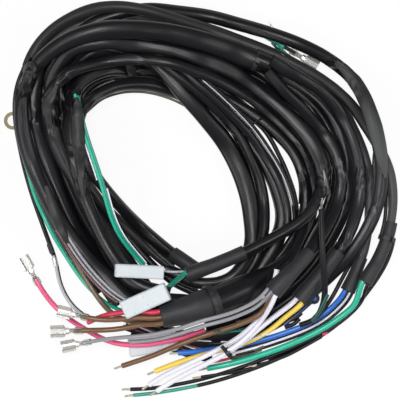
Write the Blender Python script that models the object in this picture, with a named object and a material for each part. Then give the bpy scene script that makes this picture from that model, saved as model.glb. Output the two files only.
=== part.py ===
"""A coiled wiring harness: sleeves, shrink tubes, wires, terminals, spade covers and ties.

Metres, +Z up. The coil lies on the plane z = 0. Every cable has a route of hand-chosen points
(x, y, layer): x and y in route units on the plane, and a layer that says which cable lies on which
where two cross. The heights follow from the diameters: each cable rests on what lies below it.
"""
import math

import bmesh
import bpy
import numpy as np
from mathutils import Matrix, Vector

# Lengths in metres
ROUTE_UNIT = 0.0006          # one unit of the route lists
ROUTE_CENTRE = (200.8, 200.0)    # route coordinates of the frame's origin
CLEARANCE = 0.0005           # between two cables that touch
SEAT_GAP = 0.0004            # between a piece and the one it is fitted on
STEP = 0.0014                # spacing of the points where contact is worked out
BEND_RADIUS = 0.055          # how tightly a cable comes down from what it rests on
SOFTENING = 0.010            # length over which its height is evened out
SAME_CROSSING = 0.025        # contacts closer than this along a cable have one cable on top
CLEAR_STEP = 0.7             # step in layer that by itself says which cable is on top
SETTLING_ROUNDS = 24
SLEEVE_PITCH = 2.4           # spacing of a sleeve's points, in diameters
WIRE_PITCH = 3.0             # spacing of a wire's points, in diameters
LONGEST_PITCH = 0.021
ROUND_SIDES = 2              # bevel resolution of every round cable

# Wires
WIRE_DIAMETER = 0.0032
THIN_WIRE_DIAMETER = 0.0024
HEAVY_WIRE_DIAMETER = 0.0036
CONDUCTOR_DIAMETER = 0.0014
TIP_LENGTH = 0.0055

# Shrink tubes
SHRINK_WALL = 0.0010
SHRINK_OVERLAP = 0.012
WIRE_INSET = 0.006           # how deep a wire reaches into its shrink tube
MOUTH_FAN = 0.010            # how far out of the mouth the wires still lie beside each other

# Spade terminal for a 6.3 mm tab
SPADE_WIDTH = 0.0076
SPADE_HEIGHT = 0.0025
SPADE_LENGTH = 0.0200
SPADE_BODY = 0.0092          # length of the part that takes the tab
SPADE_GRIP = 0.0042          # how far it reaches back over its wire
CRIMPED_LENGTH = 0.0036      # of bare conductor in a terminal
SHEET = 0.0004
SPADE_NECK = 0.0038          # width between the crimps and the body
SPADE_NECK_RISE = 0.0011
GRIP_OPENING = 70            # degrees left open over the insulation, and over the bare conductor
CRIMP_FLARE = 150
CRIMP_OPENING = 60

# Ring terminal
RING_OUTER = 0.0108
RING_HOLE = 0.0065
RING_THICKNESS = 0.0010
RING_REACH = 0.0098          # from the wire's end to the hole's centre
TONGUE_START = 0.0041
BARREL = (0.0006, 0.0050)    # where it starts and stops past the wire's end
BARREL_WALL = 0.0005

# Splice barrel
SPLICE_LENGTH = 0.0120
SPLICE_DIAMETER = 0.0052

# Spade cover
COVER_LENGTH = 0.0290
COVER_WIDTH = 0.0112
COVER_THICKNESS = 0.0080
COVER_MOUTH = (0.0084, 0.0034)
COVER_MOUTH_DEPTH = 0.0180
COVER_EDGE = 0.0009

# Cable ties
TIE_WIDTH = 0.0026
TIE_THICKNESS = 0.0010
TIE_HEAD = 0.0026            # how far the head stands out

# Sleeves: route and diameters along it (share of the length, metres)
SLEEVES = {
    "outer_sleeve": (
        [(128, 303, 1), (112, 281, 1), (97, 258, 1), (82, 233, 1), (68, 207, 1), (57, 180, 1),
         (49, 152, 1), (44, 124, 1), (43, 98, 1), (48, 74, 1), (58, 55, 1), (72, 39, 1), (90, 26, 1.2),
         (108, 17.5, 1.6), (128, 11.5, 2), (150, 9, 2), (175, 11, 2), (200, 14, 2), (222, 18.5, 2),
         (250, 27, 2), (280, 36, 2.5), (300, 44, 3), (320, 54, 4), (340, 66, 5), (356, 83, 5),
         (367, 104, 5), (374, 126, 5), (380, 150, 5), (381.5, 172, 5), (380, 192, 5), (375, 212, 5),
         (366, 232, 5), (355, 249, 4.5), (343, 263, 3.5), (332, 274, 2.5), (319, 286, 1.5),
         (300, 302, 1), (275, 318, 1), (250, 328, 1), (225, 335, 1), (200, 338, 1), (178, 336, 1),
         (160, 330, 1)],
        [(0, 0.0078), (1, 0.0078)]),
    "rim_sleeve": (
        [(98, 294, 1.2), (84, 271, 1.2), (70, 248, 1.2), (56, 223, 1.2), (44, 197, 1.2), (35, 170, 1.2),
         (28, 144, 1.2), (25, 119, 1.2), (23, 95, 1.4), (25, 72, 2), (32, 53, 3), (43, 38, 3),
         (56, 26, 3), (70, 18, 3), (85, 11.5, 3), (102, 7.5, 3), (120, 7, 3), (140, 9.5, 3),
         (160, 14.5, 3), (180, 20.5, 3), (200, 27, 3), (220, 33.5, 3), (240, 41, 3), (260, 48, 3),
         (280, 56.5, 3), (300, 66.5, 3), (320, 78, 3), (340, 93, 3), (351, 104, 3), (361, 118, 3),
         (371, 133, 3), (381, 150, 3), (389, 168, 3), (392.5, 185, 3), (393.9, 200, 3), (392.6, 215, 3),
         (389.5, 231, 3), (384.8, 246, 3), (378, 261, 3), (371, 273.5, 3), (365, 282.5, 3)],
        [(0, 0.0060), (0.86, 0.0060), (0.92, 0.0052), (1, 0.0052)]),
    "bundle_sleeve": (
        [(192, 318, 2), (168, 318, 2), (144, 309, 2), (124, 296, 2), (108, 280, 2.6), (95, 265, 3),
         (82, 250, 3), (70, 235, 3), (60, 219, 3), (50, 202, 3), (41, 185, 3), (33.5, 168, 3),
         (27.5, 150, 3), (24, 135, 3), (22, 120, 3), (22, 105, 3), (25, 91, 3), (31, 78, 3.2),
         (39, 65, 3.6), (50, 54, 4), (64, 44.5, 4), (82, 37, 4), (102, 32, 4), (126, 30.5, 4),
         (150, 31.5, 4), (170, 34, 4), (190, 38, 4), (220, 46, 4), (246, 55.5, 4), (263, 63, 4)],
        [(0, 0.0090), (0.6, 0.0090), (0.72, 0.0110), (1, 0.0110)]),
    "branch_a_sleeve": (
        [(267, 71.5, 4), (276, 83, 4), (288, 95, 4), (302, 108, 4), (315, 122, 4), (328, 140, 4),
         (336, 155, 4), (340, 170, 4), (341, 185, 4), (339, 198, 4), (333, 212, 4), (325, 228, 4.5),
         (314, 245, 6), (303, 258, 7), (292, 270, 7), (281, 282, 7), (272, 291, 7)],
        [(0, 0.0066), (1, 0.0066)]),
    "branch_b_sleeve": (
        [(271.5, 60.5, 4.2), (290, 72.5, 4), (310, 84, 4), (328, 99, 4), (342, 119, 4), (352, 140, 4),
         (358, 160, 4), (360, 180, 4), (358.5, 200, 4), (355, 216, 4), (349, 232, 4), (340, 248, 5),
         (330, 262, 5.5), (318, 278, 5.5), (308, 290, 5.5), (300, 300, 5.5)],
        [(0, 0.0072), (1, 0.0072)]),
    "branch_c_sleeve": (
        [(113, 302, 1), (98, 279, 1), (83, 255, 1), (69, 230, 1), (57, 204, 1), (47, 177, 1),
         (39, 149, 1), (34, 121, 1), (33, 95, 1), (37, 73, 1), (45, 54, 1), (57, 38, 1), (74, 26, 1),
         (96, 18.5, 1), (122, 16, 1), (150, 18, 1), (175, 22.5, 1), (200, 29, 1), (240, 43, 1),
         (280, 58, 1), (300, 68, 1), (320, 81, 1), (337, 98, 1.5), (347, 115, 2), (357, 135, 2),
         (365, 155, 2), (370, 175, 2), (371, 195, 2), (370, 215, 2), (367.5, 236, 2), (363, 254, 2),
         (358, 268, 2), (353, 280, 2), (348, 291, 2)],
        [(0, 0.0054), (1, 0.0054)]),
    "branch_d_sleeve": (
        [(143, 306, 1), (128, 285, 1), (112, 262, 1), (97, 238, 1), (83, 212, 1), (72, 186, 1),
         (63, 158, 1), (57, 130, 1), (54, 104, 2), (53.5, 86, 3), (57, 70, 3.6), (64, 58, 3.8),
         (76, 50, 3.8), (95, 45, 3.8), (118, 43.5, 3.8), (140, 46, 3.8), (160, 49, 3.8),
         (180, 53.5, 3.8), (200, 60, 3.8), (230, 72, 3.8), (250, 83, 3.8), (267, 96, 3.8),
         (285, 112, 3.8), (300, 127, 3.8), (312, 145, 3.8), (320, 163, 3.8), (323, 180, 4),
         (321.5, 192, 4.4), (316, 204, 5), (305, 216, 5.6), (289, 228, 6), (271, 239.5, 6),
         (256, 247, 6), (243, 252.5, 6), (228, 259, 6), (213, 265, 6), (199, 270, 6), (186, 275, 6)],
        [(0, 0.0088), (0.7, 0.0088), (0.85, 0.0066), (1, 0.0066)]),
    "middle_sleeve": (
        [(205, 325, 1), (230, 319, 1), (256, 309, 1), (281, 296, 1), (300, 282, 1.2), (314, 266, 1.5),
         (326, 248, 2.5), (336, 231, 3), (343, 215, 3), (348, 200, 3), (350, 184, 3), (349, 165, 3),
         (345, 143, 3), (335, 120, 3), (320, 101, 3), (302, 86.5, 2.5), (284, 76, 1.5), (262, 65, 1),
         (235, 54, 1), (205, 45, 1), (170, 39, 1), (135, 36.5, 1), (100, 38, 1), (76, 43, 1),
         (58, 49.5, 1.4), (45.5, 59.5, 2), (39, 72, 2.4), (36.5, 85, 3.1), (34.5, 100, 3.1),
         (35.5, 115, 3.1), (38.5, 131, 3.1), (43, 150, 3.1), (50, 170, 3.1), (57.5, 190, 3.1),
         (66, 210, 3.1), (75, 229, 3.1), (85, 245, 3.1), (96, 261, 3), (109, 277, 2.6), (125, 292, 2.2),
         (147, 303, 2), (172, 308, 2)],
        [(0, 0.0054), (0.12, 0.0070), (0.5, 0.0070), (0.62, 0.0078), (1, 0.0078)]),
    "folded_sleeve": (
        [(188, 301, 2), (162, 299, 2), (139, 285, 2.3), (119, 262, 2.8), (104, 239, 2.6), (93, 219, 2.6),
         (83.5, 200, 2.6), (75, 181, 2.8), (67, 162, 3.4), (59, 145, 3.4), (52.5, 128, 3.4),
         (49.5, 112, 3.4), (50, 98, 3.6), (54.5, 86, 4), (63.5, 77, 4.5), (76, 71, 4.6), (92, 67.5, 4.8),
         (110, 62, 5), (130, 60.5, 5), (150, 62, 5), (168, 64, 5), (184, 68.5, 4.8), (200, 74, 4),
         (216, 80.5, 3), (234, 90, 2.6), (252, 101, 2.6), (268, 112, 2.6), (282, 124.5, 2.6),
         (294, 137, 2.6), (303, 149, 2.6), (310, 161, 2.6), (314.5, 175, 2.6), (316, 190, 2.6),
         (315, 206, 2.4), (311, 222, 2), (304, 240, 1.4), (293, 258, 1), (277, 279, 1), (257, 295, 1),
         (234, 307, 1), (210, 314, 1), (190, 316, 1)],
        [(0, 0.0084), (0.3, 0.0084), (0.42, 0.0062), (0.55, 0.0050), (1, 0.0050)]),
    "inner_sleeve": (
        [(195.5, 269.5, 4.5), (186.5, 262.3, 4.5), (175, 254.8, 4.4), (158, 242.8, 4.2), (139, 225.2, 4),
         (123, 209, 4), (108, 192, 4), (96.5, 176, 3.8), (87, 159, 3.6), (80.5, 142, 3.6),
         (78.5, 124, 3.4), (84.5, 108, 3), (97.5, 95.5, 2), (118, 86.5, 1.5), (146, 84.5, 1),
         (177, 92, 0.8), (204, 101, 1.2), (216, 109, 2), (229, 120, 2), (241, 132, 2), (253, 145.5, 2),
         (263, 160, 2), (271.5, 175, 2), (278, 190, 2), (282, 205, 2), (283, 219, 2), (280.5, 233, 2),
         (274, 248, 1.6), (264, 264, 1.3), (250, 281, 1.2), (231, 296, 1), (209, 304, 1), (189, 307, 1)],
        [(0, 0.0070), (0.4, 0.0070), (0.55, 0.0088), (1, 0.0088)]),
    "hole_sleeve": (
        [(156, 303, 1), (143, 285, 1), (127, 262, 1), (111.5, 238, 1), (98, 213, 1), (87, 186, 1),
         (78, 158, 1), (71.5, 130, 1), (69, 106, 1), (69, 84, 1), (77, 64, 1), (96, 52, 1),
         (120, 48.5, 1), (141, 52, 1.4), (153, 60, 2), (164, 71, 2.5), (175, 83.5, 2.5), (186, 97, 2.5),
         (199, 111, 2.5), (213, 128, 2.5), (226, 146, 2.5), (236.5, 165, 2.5), (244, 185, 2.5),
         (249, 205, 2.5), (251.5, 221, 2.5), (252.5, 236, 2.5), (250.5, 250, 2), (245.5, 262, 2),
         (237.5, 273, 2), (225, 280.5, 2), (210, 284, 2), (195, 282.5, 2), (180, 277, 2), (165, 270, 2)],
        [(0, 0.0096), (0.84, 0.0096), (0.92, 0.0070), (1, 0.0070)]),
    "slim_sleeve": (
        [(162, 64, 2), (177, 75.8, 2.8), (191.5, 87, 3.3), (206.5, 98.5, 3.3), (223, 113.8, 3.3),
         (239, 134.8, 3.3), (250.5, 156.6, 3.3), (258.5, 176, 3.3), (263.4, 196, 3.3), (265, 216, 3.2),
         (262.6, 237, 3), (257, 256, 2.8), (248.5, 271.5, 2.8), (236, 284, 2.8), (218, 291, 2.8)],
        [(0, 0.0056), (1, 0.0056)]),
    "side_sleeve": (
        [(80, 168, 2.2), (88, 182, 2.2), (100, 200, 2.2), (115, 217, 2.2), (131, 233.5, 2.2),
         (149, 250, 2.2), (165, 263.5, 2.2), (179, 275.5, 1.6), (191, 288, 1), (202, 301, 0.6)],
        [(0, 0.0052), (1, 0.0052)]),
    "trunk_sleeve": (
        [(162, 316, 5), (180, 311.5, 5), (199, 306, 5), (217, 299.5, 5), (240, 290, 5), (262, 278.5, 5),
         (279, 266.5, 4.5), (291, 254, 4), (298.5, 242, 3.2), (302.5, 229, 2.4), (304.5, 213, 2.4),
         (305.5, 197, 2.4), (304.7, 180, 2.4), (300.9, 165.5, 2.4), (294.5, 154.5, 2.4),
         (286.2, 143.7, 2.4), (275, 132, 2.4), (261.5, 120, 2.4), (246, 109.4, 2.4), (230, 99.5, 2),
         (212, 90.5, 1.2), (190, 81, 0.8), (160, 73, 0.8), (130, 69, 0.8), (106, 71, 1), (87, 78, 2.2),
         (76, 91, 2.8), (71.5, 107, 3), (71, 125, 3.2), (72.5, 142, 3.4), (75.5, 160, 3.6),
         (80, 180, 3.6), (86.5, 200, 3.6), (95, 220, 3.6), (104.5, 240, 3.6), (115, 257, 3.4),
         (129, 275, 3), (147, 289, 2.4), (170, 293, 2)],
        [(0, 0.0110), (0.045, 0.0168), (0.115, 0.0168), (0.165, 0.0096), (0.2, 0.0064), (0.55, 0.0064),
         (0.68, 0.0080), (1, 0.0080)]),
}

# Shrink tubes: the sleeve they close, which end of its route, length, widths over the tube at the sleeve
# and at the mouth
SHRINKS = {
    "branch_a_shrink": ("branch_a_sleeve", "end", 0.0330, 0.0090, 0.0116),
    "branch_b_shrink": ("branch_b_sleeve", "end", 0.0370, 0.0096, 0.0124),
    "branch_c_shrink": ("branch_c_sleeve", "end", 0.0220, 0.0078, 0.0092),
    "rim_shrink": ("rim_sleeve", "end", 0.0400, 0.0080, 0.0092),
    "branch_d_shrink": ("branch_d_sleeve", "end", 0.0380, 0.0088, 0.0092),
    "inner_shrink": ("inner_sleeve", "start", 0.0170, 0.0092, 0.0092),
    "trunk_shrink": ("trunk_sleeve", "start", 0.0350, 0.0190, 0.0130),
}

# Wires: route, diameter, colour, what they start from and what is on their far end
WIRES = {
    "brown_wire_a": ([(148, 315.5, 5), (130, 317.5, 4.4), (112, 319, 3.2), (100, 319, 2.6),
                      (90, 317.5, 2.4), (75, 314, 2.4), (58, 310, 2.4)],
                     WIRE_DIAMETER, "brown", ("trunk_shrink", 0.0), "spade"),
    "brown_wire_b": ([(148, 322.5, 4.8), (130, 326.5, 3.8), (112, 329, 2.8), (100, 329.5, 2.4),
                      (89, 329.5, 2.4), (70, 330, 2.4), (51, 331, 2.4)],
                     WIRE_DIAMETER, "brown", ("trunk_shrink", -0.0035), "spade"),
    "red_wire": ([(148, 309, 4.8), (134, 310.5, 3.8), (120, 312, 2.6), (108, 314, 1.4), (98, 317, 1),
                  (88, 322, 1)],
                 WIRE_DIAMETER, "red", ("trunk_shrink", 0.0035), "none"),
    "grey_wire_a": ([(256, 300, 6.4), (240, 308, 6), (225, 313.5, 5.9), (200, 320, 5.9), (180, 327, 5.9),
                     (164, 331, 5.6), (148, 334, 4.4), (122, 336.5, 2.8), (106, 338.5, 2.4),
                     (92, 341, 2.4), (77, 344.5, 2.4), (60, 347.5, 2.4)],
                    THIN_WIRE_DIAMETER, "grey", ("branch_a_shrink", 0.0031), "spade"),
    "grey_wire_b": ([(259, 304.5, 6.2), (243, 312.5, 5.8), (226, 318.7, 5.6), (200, 325.5, 5.6),
                     (180, 332.5, 5.4), (164, 337, 4.6), (148, 340, 3.8), (130, 341.5, 3.4)],
                    THIN_WIRE_DIAMETER, "grey", ("branch_a_shrink", 0.0004), "none"),
    "brown_wire_c": ([(266.5, 308.5, 6), (251, 318.5, 5.2), (231.5, 326.5, 4.6), (210, 333, 4.4),
                      (190, 340, 4.4), (170, 348, 4.2), (150, 356.5, 3.6), (134, 362, 2.4), (122, 366, 2)],
                     WIRE_DIAMETER, "brown", ("branch_a_shrink", -0.0027), "tip"),
    "white_wire_a": ([(276.5, 269, 6.4), (273.5, 284, 6.2), (270.5, 296, 5.6), (266, 308, 5),
                      (257, 321, 4.8), (244, 333, 4.8), (231, 342.5, 4.8), (215, 350.5, 4.8),
                      (198, 359, 4.4), (180, 367.5, 3), (163, 376, 2.2), (149, 385, 2)],
                     WIRE_DIAMETER, "white", None, "tip"),
    "white_wire_b": ([(281.5, 311, 5.4), (261, 326.5, 5), (245.5, 339.3, 4.9), (233.5, 348.5, 4.9),
                      (218.5, 357, 4.9), (201, 366, 4.4), (184, 375, 3), (168, 384, 2.2), (157, 391.5, 2)],
                     WIRE_DIAMETER, "white", ("branch_b_shrink", 0.0021), "none"),
    "yellow_wire": ([(288, 315, 5), (273, 328, 4), (257, 338, 3.6), (240, 344.5, 3.4), (220, 350, 3.4),
                     (200, 355.5, 3.2), (175, 363.5, 2.6), (155, 371.5, 2)],
                    WIRE_DIAMETER, "yellow", ("branch_b_shrink", -0.0021), "tip"),
    "blue_wire": ([(337.5, 301, 2.4), (330, 309.8, 2), (311, 322.8, 2), (289, 331.8, 2),
                   (266, 339.3, 2.2), (242, 344.8, 2.4), (218, 348.6, 2.6), (197, 351.5, 2.4),
                   (178, 353, 2)],
                  WIRE_DIAMETER, "blue", ("branch_c_shrink", 0.0015), "none"),
    "thin_white_wire": ([(340.5, 307, 1.6), (325, 320.5, 1.4), (304, 331.5, 1.4), (274, 342.5, 1.4),
                         (249, 350, 1.6), (231, 354.5, 1.6)],
                        THIN_WIRE_DIAMETER, "white", ("branch_c_shrink", -0.0017), "tip"),
    "green_wire_c": ([(363, 294.5, 2.8), (351, 308.5, 2.6), (336, 320.5, 2.4), (317, 332, 2.4),
                      (292, 344, 2.4), (266, 353.8, 2.4), (236, 363, 2.2), (207, 369, 2)],
                     HEAVY_WIRE_DIAMETER, "green", ("rim_shrink", 0.0014), "tip"),
    "black_wire_a": ([(363.5, 300, 2), (352.5, 312.5, 1.4), (338, 324.5, 1.2), (319, 335.5, 1.2),
                      (294, 347.5, 1.2), (267, 358.5, 1.2), (236, 369.5, 1.2), (206, 378.8, 1.4),
                      (178, 385, 1.4), (152, 389, 1.4), (130, 390, 1.4)],
                     THIN_WIRE_DIAMETER, "black", ("rim_shrink", -0.0021), "tip"),
    "black_wire_b": ([(394.5, 240, 2.4), (389.5, 258, 2.2), (380.5, 275, 2), (370, 290, 1.8),
                      (354.5, 309.5, 1.5), (341.5, 321.5, 1.2), (330.5, 330.5, 1.2), (315.5, 339.8, 1.2),
                      (300, 348.5, 1.2), (280, 358.5, 1.2), (260, 367, 1.2), (230, 377.5, 1.2),
                      (201, 385.5, 1.2), (170, 391.5, 1.2), (148, 394.5, 1.2), (133, 396, 1.2)],
                     THIN_WIRE_DIAMETER, "dark_green", None, "tip"),
    "pink_wire": ([(205, 330, 1.4), (192, 334.5, 2.4), (179, 338, 3.2), (163, 341.6, 3.2),
                   (135, 345, 2.6), (113, 342.5, 1.6), (100, 337.5, 1), (88, 331, 1), (75, 323.5, 1),
                   (63, 315, 1), (52, 304, 1), (44, 294, 1), (38, 284.5, 1), (31, 271.5, 1), (22, 257, 1)],
                  WIRE_DIAMETER, "pink", None, "spade"),
    "rim_wire": ([(30, 57, 2.6), (22, 71, 2.5), (16, 88, 2.5), (14, 104, 2.5), (14.5, 120, 2.5),
                  (17.5, 140, 2.4), (21.5, 160, 2.2), (26, 178, 2), (31, 195, 1.6), (37, 212, 1.4),
                  (43, 229, 1.3), (49, 245, 1.2), (55, 262, 1.1), (58, 280, 1), (65, 297, 1),
                  (75, 310, 1), (86, 318, 1)],
                 THIN_WIRE_DIAMETER, "pale_grey", None, "none"),
    "green_wire_a": ([(24, 160, 2.1), (28.5, 174, 2), (32.5, 190, 1.8), (38.5, 206, 1.7), (47, 224, 1.7),
                      (56, 241, 1.7), (65, 255, 1.7), (73, 267.5, 1.7), (82, 280, 1.7), (94, 293, 1.7),
                      (110, 306, 1.7), (128, 313, 1.7)],
                     THIN_WIRE_DIAMETER, "green", None, "none"),
    "tan_wire": ([(51, 212, 2.3), (59, 230, 2.2), (68, 247, 2.2), (78, 265, 2.2), (88, 282, 2.1),
                  (98, 297.5, 2), (109, 311, 1.9), (124, 320, 1.8), (142, 323, 1.8)],
                 WIRE_DIAMETER, "tan", None, "none"),
    "grey_wire_c": ([(62, 226, 3.6), (71, 240, 3.6), (81, 255, 3.6), (92, 269, 3.6), (103, 281, 3.6),
                     (115, 292, 3.4), (131, 302, 3)],
                    THIN_WIRE_DIAMETER, "grey", None, "none"),
    "green_wire_b": ([(76, 95, 4), (81, 118, 4.2), (87, 140, 4.2), (94, 160, 4.2), (101, 182, 4.2),
                      (106.5, 202, 4.2), (112, 220, 4.2), (120, 237, 4), (131, 252, 3.8), (143, 266, 3.6)],
                     THIN_WIRE_DIAMETER, "green", None, "none"),
    "loop_wire_black": ([(180, 58, 2.9), (190, 68, 3.1), (202, 79, 3.3), (216, 91, 3.5), (230, 104, 3.5),
                         (243.5, 117.5, 3.5), (254.5, 129.5, 3.5), (264.5, 143, 3.5), (274, 157.5, 3.5),
                         (282, 171.5, 3.5), (288, 186, 3.5), (292, 200, 3.5), (294.5, 213, 3.5),
                         (294, 228, 3.3)],
                        THIN_WIRE_DIAMETER, "black", None, "none"),
    "loop_wire_white": ([(175.5, 62, 2.9), (185.5, 72.5, 3.1), (197.5, 83.5, 3.3), (211.5, 95.5, 3.5),
                         (225.5, 108.5, 3.5), (239, 122, 3.5), (249.5, 133.5, 3.5), (259, 146.5, 3.5),
                         (268, 160.5, 3.5), (275.8, 174, 3.5), (281.8, 188, 3.5), (286, 202, 3.5),
                         (288.3, 214, 3.5), (288, 227, 3.3)],
                        THIN_WIRE_DIAMETER, "white", None, "none"),
    "cross_wire": ([(320.5, 209, 8), (321, 227, 8), (322, 250, 8.4), (323.5, 270, 8.2), (325, 286, 7),
                    (324, 301, 4), (320, 314, 2.4), (312, 321, 1.7), (300, 325, 1.7)],
                   WIRE_DIAMETER, "black", None, "none"),
    "short_wire": ([(256, 28, 1), (265, 35.5, 0.8), (277, 42.5, 0.8), (290, 49.5, 0.8), (304, 57.5, 0.8),
                    (318, 66, 0.8)],
                   THIN_WIRE_DIAMETER, "green", None, "spade"),
    "ring_wire": ([(62, 60, 0.2), (49, 71, 0.2), (39, 83, 0.2), (30.5, 96.5, 0.2), (22.2, 107.7, 0.2),
                   (6.7, 127.6, 0.2)],
                  THIN_WIRE_DIAMETER, "black", None, "ring"),
}

# Spade covers: route of their long axis, room they take to the sides, and whether they stand on edge
COVERS = {
    "cover_a": ([(164, 272, 6.2), (140, 271, 6.2), (115.5, 269.5, 6.2)], 0.0049, True),
    "cover_b": ([(168, 290, 6.1), (146, 299.5, 6.1), (124, 309.5, 6.1)], 0.0056, False),
    "cover_c": ([(173, 341.5, 1.1), (152, 345, 1.1), (133, 347.5, 1.1)], 0.0056, False),
}

# Ties: the cable they go round, where on its route, and the angle of the head from the plane in degrees
TIES = {
    "bundle_tie": ("bundle_sleeve", (256, 60), 90),
    "trunk_tie": ("trunk_sleeve", (211, 302), 45),
    "rim_tie": ("rim_sleeve", (390, 239), 60),
    "white_tie": ("white_wire_b", (227, 352), 90),
}

# Splice barrels: the wire they sit on, and where
SPLICES = {"splice": ("rim_wire", (53.5, 256))}

# How far a fitting reaches past its wire, how much room it takes to the sides and how low it lies
FITTING_LENGTHS = {"spade": SPADE_LENGTH - SPADE_GRIP, "ring": RING_REACH + RING_OUTER / 2}
FITTING_HALF_WIDTHS = {"spade": 0.0034, "ring": 0.0028}
FITTING_FLOOR = 0.0021

COLOURS = {
    "sleeve": (0.010, 0.010, 0.012), "shrink": (0.045, 0.045, 0.047), "brown": (0.19, 0.09, 0.045),
    "red": (0.75, 0.05, 0.10), "pink": (0.80, 0.13, 0.25), "grey": (0.32, 0.32, 0.34),
    "pale_grey": (0.45, 0.46, 0.48), "white": (0.86, 0.85, 0.90), "yellow": (0.92, 0.66, 0.12),
    "dark_blue": (0.03, 0.09, 0.28), "blue": (0.04, 0.15, 0.55), "green": (0.03, 0.48, 0.32),
    "dark_green": (0.01, 0.10, 0.07), "black": (0.012, 0.012, 0.014), "tan": (0.30, 0.24, 0.17),
    "metal": (0.62, 0.60, 0.56), "brass": (0.30, 0.24, 0.12), "cover": (0.72, 0.75, 0.78),
    "tie": (0.012, 0.012, 0.012),
}
METALS = ("metal", "brass")


def clear_scene():
    for old in list(bpy.data.objects):
        bpy.data.objects.remove(old, do_unlink=True)


def material(colour):
    name = colour + "_finish"
    found = bpy.data.materials.get(name)
    if found:
        return found
    made = bpy.data.materials.new(name)
    made.use_nodes = True
    shader = made.node_tree.nodes["Principled BSDF"]
    shader.inputs["Base Color"].default_value = COLOURS[colour] + (1.0,)
    shader.inputs["Roughness"].default_value = 0.3 if colour in METALS else 0.45
    shader.inputs["Metallic"].default_value = 1.0 if colour in METALS else 0.0
    return made


def place(name, data, colour):
    """Put a mesh or a curve into the scene under its name."""
    made = bpy.data.objects.new(name, data)
    data.materials.append(material(colour))
    bpy.context.scene.collection.objects.link(made)
    return made


def plane_points(route):
    """A route's points in metres, with their layers."""
    points = np.array(route, dtype=float)
    points[:, 0] = (points[:, 0] - ROUTE_CENTRE[0]) * ROUTE_UNIT
    points[:, 1] = (ROUTE_CENTRE[1] - points[:, 1]) * ROUTE_UNIT
    return points


def smooth_curve(points, fine=12):
    """A smooth curve through the points, as many short steps."""
    ends = np.vstack([2 * points[0] - points[1], points, 2 * points[-1] - points[-2]])
    rows = []
    for index in range(1, len(ends) - 2):
        before, start, stop, after = ends[index - 1:index + 3]
        for part in range(fine):
            t = part / fine
            rows.append(0.5 * (2 * start + (stop - before) * t
                               + (2 * before - 5 * start + 4 * stop - after) * t ** 2
                               + (3 * start - before - 3 * stop + after) * t ** 3))
    rows.append(points[-1])
    return np.array(rows)


def arc_lengths(points):
    steps = np.hypot(np.diff(points[:, 0]), np.diff(points[:, 1]))
    return np.concatenate([[0.0], np.cumsum(steps)])


def along(values, lengths, where):
    """Rows of values read off at the given lengths."""
    columns = [np.interp(where, lengths, values[:, column]) for column in range(values.shape[1])]
    return np.stack(columns, axis=1)


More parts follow.
